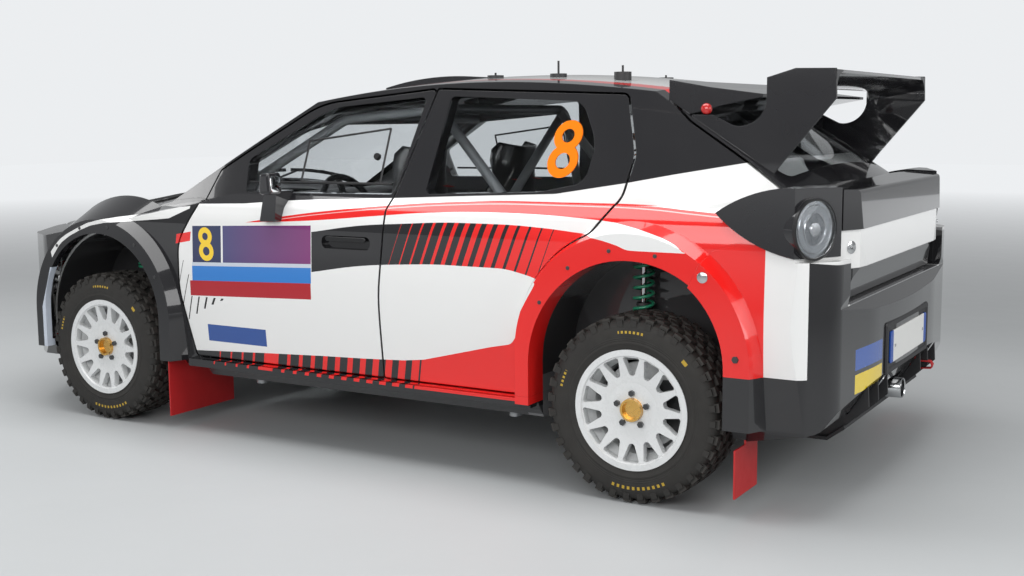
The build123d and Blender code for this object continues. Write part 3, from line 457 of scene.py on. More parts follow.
class Net:
    """Adds nodes to one tree. An input takes a Value, a number or a colour of three parts."""

    def __init__(self, tree):
        self.tree = tree
        tree.nodes.clear()

    def wire(self, value, socket):
        if isinstance(value, Value):
            self.tree.links.new(value.socket, socket)
        else:
            socket.default_value = (*value, 1) if isinstance(value, tuple) else value

    def set(self, node, **inputs):
        """Fills a node's inputs, with underscores for the spaces in their names."""
        for name, value in inputs.items():
            self.wire(value, node.inputs[name.replace("_", " ")])
        return node

    def node(self, kind, **inputs):
        return self.set(self.tree.nodes.new(kind), **inputs)

    def out(self, node, name=0):
        return Value(self, node.outputs[name])

    def math(self, operation, *values):
        node = self.node("ShaderNodeMath")
        node.operation = operation
        for socket, value in zip(node.inputs, values):
            self.wire(value, socket)
        return self.out(node)

    def mix(self, share, below, above):
        """Colour below where the share is 0, above where it is 1."""
        node = self.node("ShaderNodeMix")
        node.data_type = "RGBA"
        self.set(node, Factor=share, A=below, B=above)
        return self.out(node, "Result")

    def layers(self, colour, *coats):
        """Coats of (mask, paint) over a colour, the last one on top."""
        for mask, paint in coats:
            colour = self.mix(mask, colour, paint)
        return colour

    def place(self, kind="Object"):
        """X, Y and Z of the surface in the car's frame or, with Normal, of the way that it faces."""
        where = self.out(self.node("ShaderNodeTexCoord"), kind)
        split = self.node("ShaderNodeSeparateXYZ", Vector=where)
        return [Value(self, socket) for socket in split.outputs]

    def noise(self, scale, detail=3.0):
        where = self.out(self.node("ShaderNodeTexCoord"), "Object")
        return self.out(self.node("ShaderNodeTexNoise", Vector=where, Scale=scale, Detail=detail), "Fac")

    def soft_edge(self, radius):
        """Normal with the piece's edges rounded."""
        node = self.node("ShaderNodeBevel", Radius=radius)
        node.samples = 4
        return self.out(node)

    def grain(self, **inputs):
        return self.out(self.node("ShaderNodeBump", **inputs))


def distance(x, z, centre):
    across, rise = x - centre[0], z - centre[1]
    return (across * across + rise * rise).root()


def lean(x, z, share, level):
    """X shifted by a share of the height over a level, for what leans."""
    return (z - level) * share + x


def eight(x, z, centre, height, line):
    """The figure 8 as two rings, one on the other."""
    upper, lower = 0.27 * height, 0.29 * height
    top = distance(x, z, (centre[0], centre[1] + 0.5 * height - upper))
    foot = distance(x, z, (centre[0], centre[1] - 0.5 * height + lower))
    return top.within(upper - line, upper) | foot.within(lower - line, lower)


def border(x, points, smooth=True):
    """Height of a border over the car's length."""
    low, high = FLANK_X
    base, top = FLANK_Z
    node = x.net.node("ShaderNodeFloatCurve", Value=(x - low) / (high - low))
    line = node.mapping.curves[0]
    spots = sorted(((px - low) / (high - low), (pz - base) / (top - base)) for px, pz in points)
    line.points[0].location = spots[0]
    line.points[1].location = spots[-1]
    for spot in spots[1:-1]:
        line.points.new(*spot)
    for point in line.points:
        point.handle_type = "AUTO_CLAMPED" if smooth else "VECTOR"
    node.mapping.extend = "HORIZONTAL"
    node.mapping.update()
    return x.net.out(node).spread(base, top)


# Looks by name: material, and the record's slot
LOOKS = {}


def surface(name, slot=None, **fixed):
    """New look, with its net and its principled shader."""
    material = bpy.data.materials.new(name)
    material.use_nodes = True
    LOOKS[name] = material, slot
    net = Net(material.node_tree)
    shader = net.node("ShaderNodeBsdfPrincipled", **fixed)
    net.node("ShaderNodeOutputMaterial", Surface=net.out(shader))
    return net, shader


def plain(name, slot, colour, roughness, bump=0.0, scale=80.0, edge=0.0, **fixed):
    """One colour with slight mottling in colour and roughness, and a fine bump where asked."""
    net, shader = surface(name, slot, **fixed)
    mottle = net.noise(scale / 8, 4.0)
    normal = {"Normal": net.soft_edge(edge)} if edge else {}
    if bump:
        normal = {"Normal": net.grain(Height=net.noise(scale), Strength=bump, Distance=0.002, **normal)}
    net.set(shader, Base_Color=net.mix(mottle, colour, tuple(0.86 * v for v in colour)),
            Roughness=mottle.spread(roughness * 0.85, min(1.0, roughness * 1.15)), **normal)


def gloss(name, colouring, roughness=0.16):
    """Clear-coated paint. Its function gives the colour, and the least roughness at each place."""
    net, shader = surface(name, Coat_Weight=1.0, Coat_Roughness=0.03, Specular_IOR_Level=0.15)
    colour, dull = colouring(net)
    net.set(shader, Base_Color=net.mix(net.noise(3.0, 5.0) * 0.03, colour, (0.30, 0.28, 0.26)),
            Roughness=net.noise(14.0).spread(roughness * 0.8, roughness * 1.2).most(dull),
            Normal=net.soft_edge(0.004))


# Paint of the body


def flank_colours(net, x, z):
    """Stripes and fields of the flank, and a painted highlight along the upper red stripe."""
    swoosh = (z > border(x, SWOOSH_FOOT)) & (x < DOOR_SEAM_X)
    stripe = (z > border(x, STRIPE_FOOT)) & (x < STRIPE_TIP[0])
    stripe_top = border(x, STRIPE_TOP)
    # Painted highlight: a thin line just under the top of the upper red stripe, where its crease catches
    # light.
    painted_highlight = stripe & (stripe_top - z).within(0.008, 0.0115)
    return net.layers(
        RED,
        (z > border(x, FIELD_FOOT, False), WHITE),
        (sill_bars(x, z), BLACK),
        (swoosh, BLACK),
        (swoosh & swoosh_bars(x, z), RED),
        ((z > border(x, BAND_FOOT)) & (x > -1.545), WHITE),
        (stripe, RED),
        # Painted highlight along the upper red stripe, half white.
        (painted_highlight * 0.5, WHITE),
        (z > stripe_top, WHITE),
        *((stroke, BLACK) for stroke in nose_strokes(x, z)),
        (z > border(x, BELT, False), BLACK),
    )


def swoosh_bars(x, z):
    """Red bars that lean back and grow towards the rear arch."""
    count = (-0.333 - lean(x, z, 0.3725, 0.762)) / 0.046
    width = (count * 0.064 + 0.03).least(0.96)
    return (count > 0.0) & (count.fraction() < width) | (count > 14.4)


def sill_bars(x, z):
    """Black ground between the bars along the sill, up to where the sill turns red."""
    foot = lean(x, z, 0.18, 0.30)
    count = (0.560 - foot) / 0.0605
    bars = (count > 0.0) & (count.fraction() < count * 0.028 + 0.10)
    bars = bars | foot.within(0.250, 0.308) | (foot < -0.45)
    low = (z < border(x, FIELD_FOOT, False)) & (x < DOOR_FRONT_X)
    return low & (1.0 - bars) & (x > -0.95) | low & (z < 0.303)


# Short strokes under the front corner of the door's white field: x and z at the top, x and z below, width
NOSE_STROKES = [
    (0.721, 0.725, 0.750, 0.617, 0.003),
    (0.692, 0.667, 0.735, 0.529, 0.004),
    (0.679, 0.577, 0.707, 0.477, 0.006),
    (0.639, 0.577, 0.660, 0.503, 0.008),
    (0.596, 0.577, 0.612, 0.528, 0.010),
    (0.552, 0.577, 0.567, 0.548, 0.012),
    (0.508, 0.577, 0.518, 0.567, 0.013),
]


def nose_strokes(x, z):
    """A mask for each stroke."""
    masks = []
    for top_x, top_z, foot_x, foot_z, width in NOSE_STROKES:
        share = (foot_x - top_x) / (top_z - foot_z)
        along = abs(lean(x, z, share, foot_z) - foot_x)
        masks.append((along < width / 2) & z.within(foot_z, top_z))
    return masks


def chip(x, z):
    """Red mark across the seam between the front wing and the door."""
    return lean(x, z, 0.14, 0.82).within(0.680, 0.760) & lean(z, x, 0.17, 0.72).within(0.800, 0.838)


def door_plate(net, x, z, colour):
    """Plate for the start number on the front door, with no words: a number, a field and two bands."""
    level = lean(z, x, 0.038, DOOR_SEAM_X)
    fade = net.mix((0.50 - x) / 0.46, PURPLE, PLUM)
    fields = [
        (0.604, 0.667, 0.042, 0.686, (0.42, 0.010, 0.020)),
        (0.667, 0.728, 0.040, 0.672, (0.030, 0.200, 0.580)),
        (0.728, 0.743, 0.040, 0.672, PALE),
        (0.743, 0.893, 0.040, 0.500, fade),
        (0.743, 0.893, 0.500, 0.510, WHITE),
        (0.743, 0.893, 0.510, 0.668, NAVY),
    ]
    for low, high, rear, front, paint in fields:
        colour = net.mix(level.within(low, high) & x.within(rear, front), colour, paint)
    number = eight(lean(x, level, -0.10, 0.818), level, (0.594, 0.818), 0.138, 0.022)
    return net.mix(number, colour, YELLOW)


def cabin_side(net, colour, dull):
    """Grey paint on faces that look towards the car's middle."""
    inner = net.place("Normal")[1] * net.place()[1].sign() < -0.25
    return net.mix(inner, colour, CABIN_GREY), inner * dull


def front_door_paint(net):
    x, y, z = net.place()
    sticker = x.within(0.282, 0.610) & z.within(0.388, 0.470)
    sticker_core = x.within(0.288, 0.604) & z.within(0.394, 0.464)
    colour = door_plate(net, x, z, flank_colours(net, x, z))
    colour = net.layers(colour, (sticker, WHITE), (sticker_core, (0.020, 0.075, 0.300)), (chip(x, z), RED))
    return cabin_side(net, colour, 0.4)


def rear_door_paint(net):
    x, y, z = net.place()
    return cabin_side(net, flank_colours(net, x, z), 0.4)


def shell_paint(net):
    """Flank, white roof with red edges, dark wheel houses, and grey inside."""
    x, y, z = net.place()
    side = abs(y)
    up = net.place("Normal")[2]
    roof = (z > 1.33) & (x < 0.12)
    taper = (x + 0.95).least(0.0) * 0.10 + 0.50
    under = (z < 0.27) & (up < -0.5)
    colour, dull = cabin_side(net, net.layers(
        flank_colours(net, x, z),
        ((x < CORNER_X) & (z < 1.02), WHITE),
        (roof & (side < 0.545), RED),
        (roof & (side < taper), WHITE),
        (under, LINER_GREY),
    ), 0.5)
    front_house, rear_house = (distance(x, z, (hx, hz)) < radius + 0.004 for hx, hz, radius in HOUSES)
    liner = (front_house | rear_house) & (side < HOUSE_Y)
    splash = liner & x.within(0.72, 0.90) & (z < 0.62) & (side > 0.52)
    cabin = (side < CABIN_Y) & ((z < 1.0) | (up < -0.3))
    boot = (side < HOUSE_Y) & (z < 0.99) & x.within(-1.80, -0.90)
    inside = cabin | boot
    colour = net.layers(colour, (inside, CABIN_GREY), (liner, LINER_GREY), (splash, RED))
    return colour, dull | (inside | liner | under) * 0.6


def wing_paint(net):
    """Black, with a white band over the wheel."""
    x, y, z = net.place()
    band = (z < border(x, WING_TOP, False)) & (z > border(x, WING_FOOT, False))
    band = band & x.within(WING_TOP[0][0], WING_TOP[-1][0])
    return net.layers(BLACK, (band, WHITE), (chip(x, z), RED)), 0.0


def rear_bumper_paint(net):
    """Red arch, white corner and black tail, with two plain marks on the left of the tail."""
    x, y, z = net.place()
    marks = (x < -1.99) & y.within(0.330, 0.590)
    return net.layers(
        RED,
        (x < CORNER_X, WHITE),
        ((x < -1.93) | (z < 0.475), BLACK),
        (marks & z.within(0.470, 0.540), (0.020, 0.090, 0.400)),
        (marks & z.within(0.392, 0.456), (0.85, 0.62, 0.01)),
    ), 0.0


def tailgate_paint(net):
    """Black, with a white panel across it."""
    x, y, z = net.place()
    return net.mix(z.within(0.806, 0.9325), BLACK, WHITE), 0.0


def front_bumper_paint(net):
    """Black, with a white nose over a red line, and a pale strip along the wheel arch."""
    x, y, z = net.place()
    side = abs(y)
    nose = z.within(0.585, 0.745) & (side < CABIN_Y)
    arch_edge = (z - 0.48).most(0.0) * -0.36 + 1.552
    strip = (x < arch_edge) & z.within(0.30, 0.66) & (side > HOUSE_Y)
    return net.layers(BLACK, (nose, WHITE), (nose & (z < 0.62), RED), (strip, PALE)), 0.0


def black_paint(net):
    return net.mix(net.noise(5.0), BLACK, (0.016, 0.016, 0.019)), 0.0


# Looks of other parts


def plate_look():
    """White plate with blue ends, left blank."""
    net, shader = surface("number_plate", "paint_white")
    x, y, z = net.place()
    white = net.mix(net.noise(12.0), (0.76, 0.76, 0.74), (0.70, 0.70, 0.68))
    net.set(shader, Base_Color=net.mix(abs(y) > 0.222, white, (0.012, 0.070, 0.360)),
            Roughness=net.noise(20.0).spread(0.28, 0.40))


def glass_look(name, tint, marking=None, slot=None):
    """Tinted glass. A marking gives the mask and the colour of what is printed on it."""
    net, shader = surface(name, slot, Roughness=0.015, Transmission_Weight=1.0, IOR=1.12)
    if marking is None:
        net.set(shader, Base_Color=net.mix(net.noise(2.0), tint, tuple(0.93 * v for v in tint)))
        return
    mask, paint = marking(net)
    net.set(shader, Base_Color=net.mix(mask, tint, paint), Transmission_Weight=1.0 - mask,
            Roughness=mask * 0.3 + 0.015)


def rear_number(net):
    x, y, z = net.place()
    return eight(lean(x, z, 0.06, 1.19), z, (-1.005, 1.19), 0.20, 0.030), ORANGE


def frit(net):
    """Black border along the windscreen's edges."""
    x, y, z = net.place()
    reach = (z - 0.93) * -0.30 + 0.655
    return (abs(y) > reach) | (z < 0.965) | (z > 1.300), (0.008, 0.008, 0.009)


# Faces of a wheel, as distances from the car's middle, and radii on them
HUB_Y, CAP_Y, NUT_Y = 0.745, 0.80, 0.8625
DISC_RADIUS, CAP_RADIUS = 0.152, 0.040
NUT_RING = (0.044, 0.070)


def wheel_look(end):
    """White rim, gold cap and dark nuts, with the steel disc behind the spokes."""
    net, shader = surface(f"wheel_{end}", Coat_Weight=0.7, Coat_Roughness=0.08)
    x, y, z = net.place()
    reach = distance(x, z, (AXLE_X[end], AXLE_Z))
    depth = abs(y)
    inner = depth < HUB_Y
    cap = (reach < CAP_RADIUS) & (depth > CAP_Y)
    nuts = reach.within(*NUT_RING) & (depth > NUT_Y)
    rim = net.mix(net.noise(30.0), (0.74, 0.75, 0.75), (0.66, 0.67, 0.67))
    rim = net.layers(rim, (inner, (0.20, 0.20, 0.205)), (cap, GOLD), (nuts, (0.05, 0.05, 0.052)))
    net.set(shader, Base_Color=rim, Metallic=inner & (reach < DISC_RADIUS) | cap | nuts * 0.7,
            Roughness=net.noise(60.0).spread(0.22, 0.34), Normal=net.soft_edge(0.002))


SIDEWALL = 0.09

# Strokes on a tyre's side: turn from, turn to, radius from, radius to, strokes a radian, share inked
TYRE_MARKS = [
    (1.40, 1.75, 0.262, 0.271, 18.0, 0.55),
    (2.36, 2.44, 0.260, 0.273, 1.0, 1.0),
    (-2.10, -1.30, 0.261, 0.272, 14.0, 0.50),
    (0.20, 0.45, 0.262, 0.271, 18.0, 0.55),
]


def tyre_look(end):
    """Dusty black rubber with yellow strokes on the side."""
    net, shader = surface(f"tyre_{end}", "tyre")
    x, y, z = net.place()
    reach = distance(x, z, (AXLE_X[end], AXLE_Z))
    turn = net.math("ARCTAN2", z - AXLE_Z, x - AXLE_X[end])
    colour = net.mix(net.noise(9.0, 5.0), (0.014, 0.0135, 0.013), (0.030, 0.027, 0.023))
    colour = net.mix((reach > 0.312) * net.noise(40.0), colour, (0.050, 0.045, 0.040))
    outer = abs(y) > WHEEL_Y + SIDEWALL
    for low, high, near, far, count, share in TYRE_MARKS:
        strokes = (turn * count).fraction() < share
        mask = outer & reach.within(near, far) & turn.within(low, high) & strokes
        colour = net.mix(mask, colour, (0.46, 0.30, 0.03))
    rings = (reach * 900.0).sine() * reach.within(0.236, 0.250)
    net.set(shader, Base_Color=colour, Roughness=net.noise(25.0).spread(0.62, 0.88),
            Normal=net.grain(Height=rings + net.noise(260.0), Strength=0.35, Distance=0.001))


def dress(look, *names):
    """Puts a look on CAD nodes."""
    for name in names:
        slots = NODES[name].data.materials
        if len(slots):
            slots[0] = LOOKS[look][0]
        else:
            slots.append(LOOKS[look][0])


def both(name):
    return f"{name}_left", f"{name}_right"


# Tyres

# Rows of blocks: distance from the middle, width, share of the pitch, skew and shift in pitches, inner
# and outer radius. The last row lies on the shoulder.
TREAD_ROWS = [
    (0.018, 0.030, 0.62, 0.10, 0.0, 0.300, 0.3218),
    (0.053, 0.031, 0.66, -0.12, 0.5, 0.300, 0.3215),
    (0.086, 0.027, 0.58, 0.0, 0.0, 0.300, 0.3180),
    (0.1015, 0.010, 0.45, 0.0, 0.0, 0.285, 0.306),
]
TREAD_PITCHES = 36

# Half of a tyre's outline, from its bead to the middle of its tread: radius, distance from the middle
TYRE_PROFILE = [
    (0.192, 0.096), (0.206, 0.0998), (0.214, 0.1035), (0.226, 0.1060), (0.228, 0.1072), (0.233, 0.1072),
    (0.235, 0.1062), (0.255, 0.1078), (0.275, 0.1070), (0.290, 0.1040), (0.300, 0.0990), (0.3065, 0.0900),
    (0.3095, 0.0700), (0.3105, 0.0350), (0.3108, 0.0),
]


def tread_block(y, angle, width, length, skew, low, high):
    """Block on the tyre's crown or shoulder, narrower at its top than at its foot."""
    rings = []
    for radius, grow in ((low, 1.0), (high, 0.9)):
        ring = []
        for a, b in rectangle(1, 1):
            turn = angle + grow * a * length / 2 + skew * b
            ring.append((radius * math.cos(turn), y + grow * b * width / 2, radius * math.sin(turn)))
        rings.append(ring)
    return loft(rings)


def make_tyre(end, side):
    """Tyre with a blocky gravel tread, in place of the plain one."""
    profile = TYRE_PROFILE + [(r, -y) for r, y in reversed(TYRE_PROFILE[:-1])]
    shapes = [moved(lathe(profile, 72, True), Matrix.Rotation(math.radians(-90), 4, "X"))]
    pitch = 2 * math.pi / TREAD_PITCHES
    for y, width, share, skew, shift, low, high in TREAD_ROWS:
        for k, stagger in ((1, 0.25), (-1, 0.0)):
            for i in range(TREAD_PITCHES):
                turn = (i + shift + stagger) * pitch
                shapes.append(tread_block(k * y, turn, width, share * pitch, k * skew * pitch, low, high))
    shape = shifted(joined(*shapes), AXLE_X[end], SIDES[side] * WHEEL_Y, AXLE_Z)
    tyre = piece(f"treaded_tyre_{end}_{side}", shape, f"tyre_{end}", f"wheel_{end}_{side}", smooth=30)
    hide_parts(f"tyre_{end}_{side}")


# Suspension


def helix(foot, top, radius, turns, turn_steps=16):
    """Centre line of a spring whose end turns lie flat."""
    place = facing_out(foot, top - foot)
    length = (top - foot).length
    spots = []
    for i in range(int(turns * turn_steps) + 1):
        turned = i / turn_steps
        rise = min(1.0, max(0.0, (turned - 0.75) / (turns - 1.5)))
        angle = 2 * math.pi * turned
        spots.append(place @ Vector((radius * math.cos(angle), radius * math.sin(angle), rise * length)))
    return spots


def make_strut(name, foot, top, shares, body):
    """Damper with a wound spring. The shares of its length are its tube's end and the spring's two seats."""
    tube_end, low, high = shares

    def at(share):
        return Vector(foot).lerp(Vector(top), share)

    parts = [
        (0, tube_end, 0.0235), (tube_end - 0.03, tube_end, 0.026), (low - 0.012, low, 0.042),
        (low - 0.05, low - 0.012, 0.029), (high, high + 0.012, 0.042),
        (high + 0.012, min(1.0, high + 0.05), 0.026),
    ]
    shape = joined(*[cylinder(at(start), at(end), radius) for start, end, radius in parts])
    damper = piece(f"damper_{name}", shape, "dark_steel", body, bevel=0.001)
    piece(f"rod_{name}", cylinder(at(tube_end - 0.01), at(1.0), 0.011), "chrome", body)
    wire = helix(at(low + 0.012), at(high - 0.012), 0.0345, 6.5)
    piece(f"coil_{name}", tube(wire, 0.0056, 8), "spring_green", body, smooth=60)
    return damper


def make_struts():
    """Struts of the front and rear wheels, and the front ones' bearings, in place of the plain ones."""
    x, y = AXLE_X["front"], 0.604
    rear_x, rear_y = -1.270, 0.618
    for side, k in SIDES.items():
        make_strut(f"front_{side}", (x, k * 0.612, 0.440), (x, k * y, 0.834), (0.60, 0.52, 0.96),
                   f"knuckle_{side}")
        studs = [cylinder((x + a, k * (y + b), 0.836), (x + a, k * (y + b), 0.853), 0.005, 6)
                 for a, b in round_spots(0.044, (0.5, 2.6, 4.7))]
        plate = joined(cylinder((x, k * 0.6042, 0.836), (x, k * y, 0.846), 0.058, 32), *studs)
        bearing = piece(f"strut_bearing_{side}", plate, "steel", f"knuckle_{side}", bevel=0.001)
        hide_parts(f"front_strut_{side}")
        rear = make_strut(f"rear_{side}", (rear_x, k * rear_y, 0.430), (rear_x, k * rear_y, 0.826),
                          (0.56, 0.46, 0.95), "root")
        if side == "left":
            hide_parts("rear_struts")


# Rear lamps, plate and fasteners

LAMP_AT = (-1.918, 0.782, 0.947)
LAMP_TURN = math.radians(23)

# Outlines of a lamp's pieces: radius, height over its face
BEZEL = [
    (0.0985, 0.010), (0.0985, 0.021), (0.0950, 0.024), (0.0905, 0.021), (0.0905, 0.0145), (0.0905, 0.010),
]
BOWL = [
    (0.0905, 0.0150), (0.078, 0.0152), (0.0765, 0.0180), (0.074, 0.0152), (0.052, 0.0150), (0.0500, 0.0185),
    (0.0470, 0.0150), (0.024, 0.0150), (0.020, 0.0200), (0.006, 0.0215), (0.0005, 0.0215),
]
DOME = [
    (0.0902, 0.0180), (0.0895, 0.0215), (0.080, 0.0245), (0.060, 0.0275), (0.035, 0.0295), (0.0005, 0.0300),
]


def make_rear_lamps():
    """Bezel, bowl and domed lens on the face of each rear lamp."""
    place = facing_out(LAMP_AT, (-math.cos(LAMP_TURN), math.sin(LAMP_TURN), 0))
    lens = DOME + [(r * 0.985, h - 0.0018) for r, h in reversed(DOME)]
    for side in SIDES:
        for name, shape, look in (("lamp_bezel", lathe(BEZEL, 96, True), "black_trim"),
                                  ("lamp_bowl", lathe(BOWL, 96), "lamp_bowl"),
                                  ("lamp_lens", lathe(lens, 96), "lamp_clear")):
            piece(f"{name}_{side}", sided(moved(shape, place), side), look)


def make_number_plate():
    """Blank plate in a dark recess over the diffuser."""
    place = facing_out((-2.043, 0, 0.497), (-1, 0, 0))
    surround = plaque(0.012, (0.600, 0.186, -0.008), (0.592, 0.178, -0.001), (0.560, 0.150, -0.001),
                      (0.552, 0.142, -0.005))
    piece("plate_surround", moved(surround, place), "plastic", bevel=0.001)
    blank = plaque(0.010, (0.520, 0.112, -0.004), (0.520, 0.112, 0.0005), (0.516, 0.108, 0.0015),
                   (0.510, 0.102, 0.0012))
    piece("number_plate", moved(blank, place), "number_plate")
    bolts = [moved(hex_bolt(0.006, 0.003), place @ Matrix.Translation((x, 0, 0.001))) for x in (-0.20, 0.20)]
    piece("plate_bolts", joined(*bolts), "chrome")


def side_head(node, x, z, k, radius, height, sides):
    """Low head of a bolt or ring, lying on the side of a node."""
    return moved(disc(radius, height, sides), facing_out(*from_side(node, x, z, k), (0.1, 0, 1)))


def flare_heads(node, x, z, radius, angles, k):
    """Heads along the edge of a wheel arch."""
    return [side_head(node, x + a, z + b, k, 0.007, 0.003, 16) for a, b in round_spots(radius, angles)]


def make_fasteners():
    """Rings, bolts and pins on the outside, and the small lamps of the rear wing."""
    for side, k in SIDES.items():
        ring = side_head("rear_bumper", -1.607, 0.790, k, 0.018, 0.004, 32)
        piece(f"bumper_ring_{side}", ring, "chrome")
        bolts = joined(side_head("rear_bumper", -1.721, 0.534, k, 0.012, 0.006, 6),
                       *flare_heads("front_wings", 1.180, 0.470, 0.385, (0.85, 1.3, 1.75, 2.2, 2.65), k),
                       *flare_heads("body_shell", -1.338, 0.490, 0.375, (0.5, 0.95, 1.4, 1.85, 2.3), k))
        piece(f"flare_bolts_{side}", bolts, "dark_steel")
        place = facing_out(*skin("tailgate", (BEHIND, 0.585 * k, 0.875), (1, 0, 0)), (0.1, 0, 1))
        pin = joined(disc(0.021, 0.004, 32), disc(0.006, 0.014, 12))
        piece(f"hatch_pin_{side}", moved(pin, place), "chrome", "tailgate")
        lamp = lathe([(0.019, -0.003), (0.019, 0.004), (0.016, 0.010), (0.009, 0.014), (0.0005, 0.015)], 24)
        place = facing_out(*from_side("rear_wing", -1.490, 1.325, k))
        piece(f"wing_lamp_{side}", moved(lamp, place), "lamp_red", "tailgate")
        pin = joined(disc(0.020, 0.003, 32), disc(0.005, 0.012, 12))
        pins = [moved(pin, facing_out(*from_top("bonnet", x, y * k), (1, 0, 0)))
                for x, y in ((1.72, 0.40), (1.20, 0.60))]
        piece(f"bonnet_pins_{side}", joined(*pins), "chrome", "bonnet")


# Doors, windows and mirrors

# Corners of the sliding pane and ends of its track, as (x, z)
SLIDING_PANE = [(-0.235, 1.055), (0.150, 1.055), (0.150, 1.215), (-0.235, 1.262)]
PANE_TRACK = [(-0.295, 1.055), (0.415, 1.050)]
HANDLE_X, HANDLE_Z = -0.130, 0.846


def dense(points, step, loop=False):
    """Points along straight runs, no further apart than a step."""
    result = []
    ends = list(points) + ([points[0]] if loop else [])
    for here, there in zip(ends, ends[1:]):
        count = max(1, math.ceil(math.dist(here, there) / step))
        result.extend(tuple(a + (b - a) * i / count for a, b in zip(here, there)) for i in range(count))
    return result if loop else result + [ends[-1]]


def window_rail(ends, lift, radius):
    return tube([on_side("front_glass_left", x, z, lift) for x, z in dense(ends, 0.04)], radius, 6)


def make_door_details():
    """Handle, rails and knob of the sliding pane, and mirror glass of each front door."""
    bar = moved(plaque(0.008, (0.190, 0.017, 0), (0.190, 0.017, 0.011)),
                facing_out((HANDLE_X, 0.843, HANDLE_Z), (0, 1, 0)))
    posts = [box((0.014, 0.02, 0.012), (HANDLE_X + x, 0.838, HANDLE_Z)) for x in (-0.082, 0.082)]
    rails = [window_rail([SLIDING_PANE[i - 1], SLIDING_PANE[i]], 0.002, 0.0045) for i in range(4)]
    rails.append(window_rail(PANE_TRACK, 0.003, 0.005))
    spot, normal = from_side("front_glass_left", -0.20, 1.155)
    knob = moved(disc(0.014, 0.012, 20), facing_out(spot + normal * 0.002, normal))
    mirror = plaque(0.016, (0.056, 0.064, -0.004), (0.056, 0.064, 0.0), (0.053, 0.061, 0.001))
    mirror = moved(mirror, facing_out(*skin("mirror_left", (-0.5, 0.895, 1.054), (1, 0, 0))))
    for side in SIDES:
        door = f"front_door_{side}"
        piece(f"door_handle_{side}", sided(joined(bar, *posts), side), "black_trim", door, bevel=0.002)
        piece(f"window_rails_{side}", sided(joined(*rails), side), "black_trim", door)
        piece(f"window_knob_{side}", sided(knob, side), "black_trim", door)
        piece(f"mirror_glass_{side}", sided(mirror, side), "mirror_silver", door)


# Section of a wiper's blade: across, up
BLADE_SECTION = [(-0.004, -0.006), (0.004, -0.006), (0.003, 0.010), (-0.003, 0.010)]


def make_wipers():
    """Two parked wipers on the windscreen."""
    arms, blades = [], []
    for foot_y, tip_y in ((0.42, -0.06), (-0.10, -0.58)):
        base = on_top("front_frame", 1.045, foot_y, 0.006)
        path = [on_top("windscreen", 0.955 - 0.05 * share, foot_y + (tip_y - foot_y) * share, 0.020)
                for share in (0.12, 0.3, 0.5)]
        arms.append(tube([base, base + Vector((-0.02, 0, 0.018))] + path, 0.0055, 8))
        arms.append(moved(disc(0.016, 0.02, 20), Matrix.Translation(base)))
        blade = [on_top("windscreen", 0.925, y, 0.007) for y in steps(tip_y + 0.02, foot_y + 0.02, 12)]
        blades.append(section_path(blade, BLADE_SECTION))
    piece("wiper_arms", joined(*arms), "black_trim")
    piece("wiper_blades", joined(*blades), "rubber_and_shade_black")


# Bonnet, nose and roof


def make_bonnet_vents():
    """Two louvred outlets in the bonnet, with a dark bed under the slats as painted shade."""
    across = steps(0.16, 0.40, 6)
    # The bed is painted shade: a dark sheet under the slats, where the outlet's opening is in shadow.
    bed = [[on_top("bonnet", x, y, 0.0015) for y in across] for x in steps(1.28, 1.50, 8)]
    bed = closed_sheet(bed, [[spot - Vector((0, 0, 0.004)) for spot in row] for row in bed])
    slats = [section_path([on_top("bonnet", x, y, 0.009) for y in across],
                          [(-0.014, -0.006), (-0.012, -0.008), (0.014, 0.004), (0.012, 0.006)])
             for x in steps(1.295, 1.485, 5)]
    rim = dense([(1.275, 0.150), (1.505, 0.150), (1.505, 0.410), (1.275, 0.410)], 0.03, True)
    slats.append(tube([on_top("bonnet", x, y, 0.003) for x, y in rim], 0.006, 8, True))
    for side in SIDES:
        piece(f"vent_shade_bed_{side}", sided(bed, side), "rubber_and_shade_black", "bonnet")
        piece(f"vent_slats_{side}", sided(joined(*slats), side), "black_trim", "bonnet", smooth=50)


def behind_lens(y, z, depth):
    """Point behind the left headlamp's lens."""
    return skin("headlamps", (AHEAD, y, z), (-1, 0, 0))[0] - Vector((depth, 0, 0))


def make_headlamps():
    """Bowls, bulbs and a dark backing behind the headlamps' lenses."""
    bowls, bulbs = [], []
    for y, z, r in ((0.560, 0.658, 0.030), (0.630, 0.658, 0.026)):
        spot = behind_lens(y, z, 0.038)
        bowl = [(r, 0.020), (r * 0.96, 0.004), (r * 0.6, -0.016), (0.0005, -0.024)]
        bowls.append(lathe_at(bowl, spot, (1, 0.10, 0), 40))
        bulbs.append(lathe_at([(r * 0.4, 0.004), (r * 0.36, 0.010), (0.0005, 0.014)], spot, (1, 0.10, 0)))
    backing = sheet_of([[behind_lens(min(0.686, max(0.524, y)), min(0.711, max(0.604, z)), 0.036)
                         for z in steps(0.603, 0.712, 4)] for y in steps(0.522, 0.688, 8)])
    for side in SIDES:
        piece(f"lamp_backing_{side}", sided(backing, side), "black_trim", thick=0.002)
        piece(f"headlamp_bowls_{side}", sided(joined(*bowls), side), "chrome", thick=0.001)
        piece(f"headlamp_bulbs_{side}", sided(joined(*bulbs), side), "lamp_clear")


def make_grille():
    """Mesh behind the grille, and the radiator behind it."""
    x, half, wire = 1.895, 0.515, 0.0022
    wires = [cylinder((x, y, 0.30), (x, y, 0.56), wire, 6) for y in steps(-0.50, 0.50, 26)]
    wires += [cylinder((x + 0.003, -half, z), (x + 0.003, half, z), wire, 6) for z in steps(0.305, 0.555, 8)]
    piece("grille_mesh", joined(*wires), "dark_steel")
    piece("radiator", box((0.03, 0.80, 0.24), (1.870, 0, 0.43)), "dark_steel", bevel=0.004)


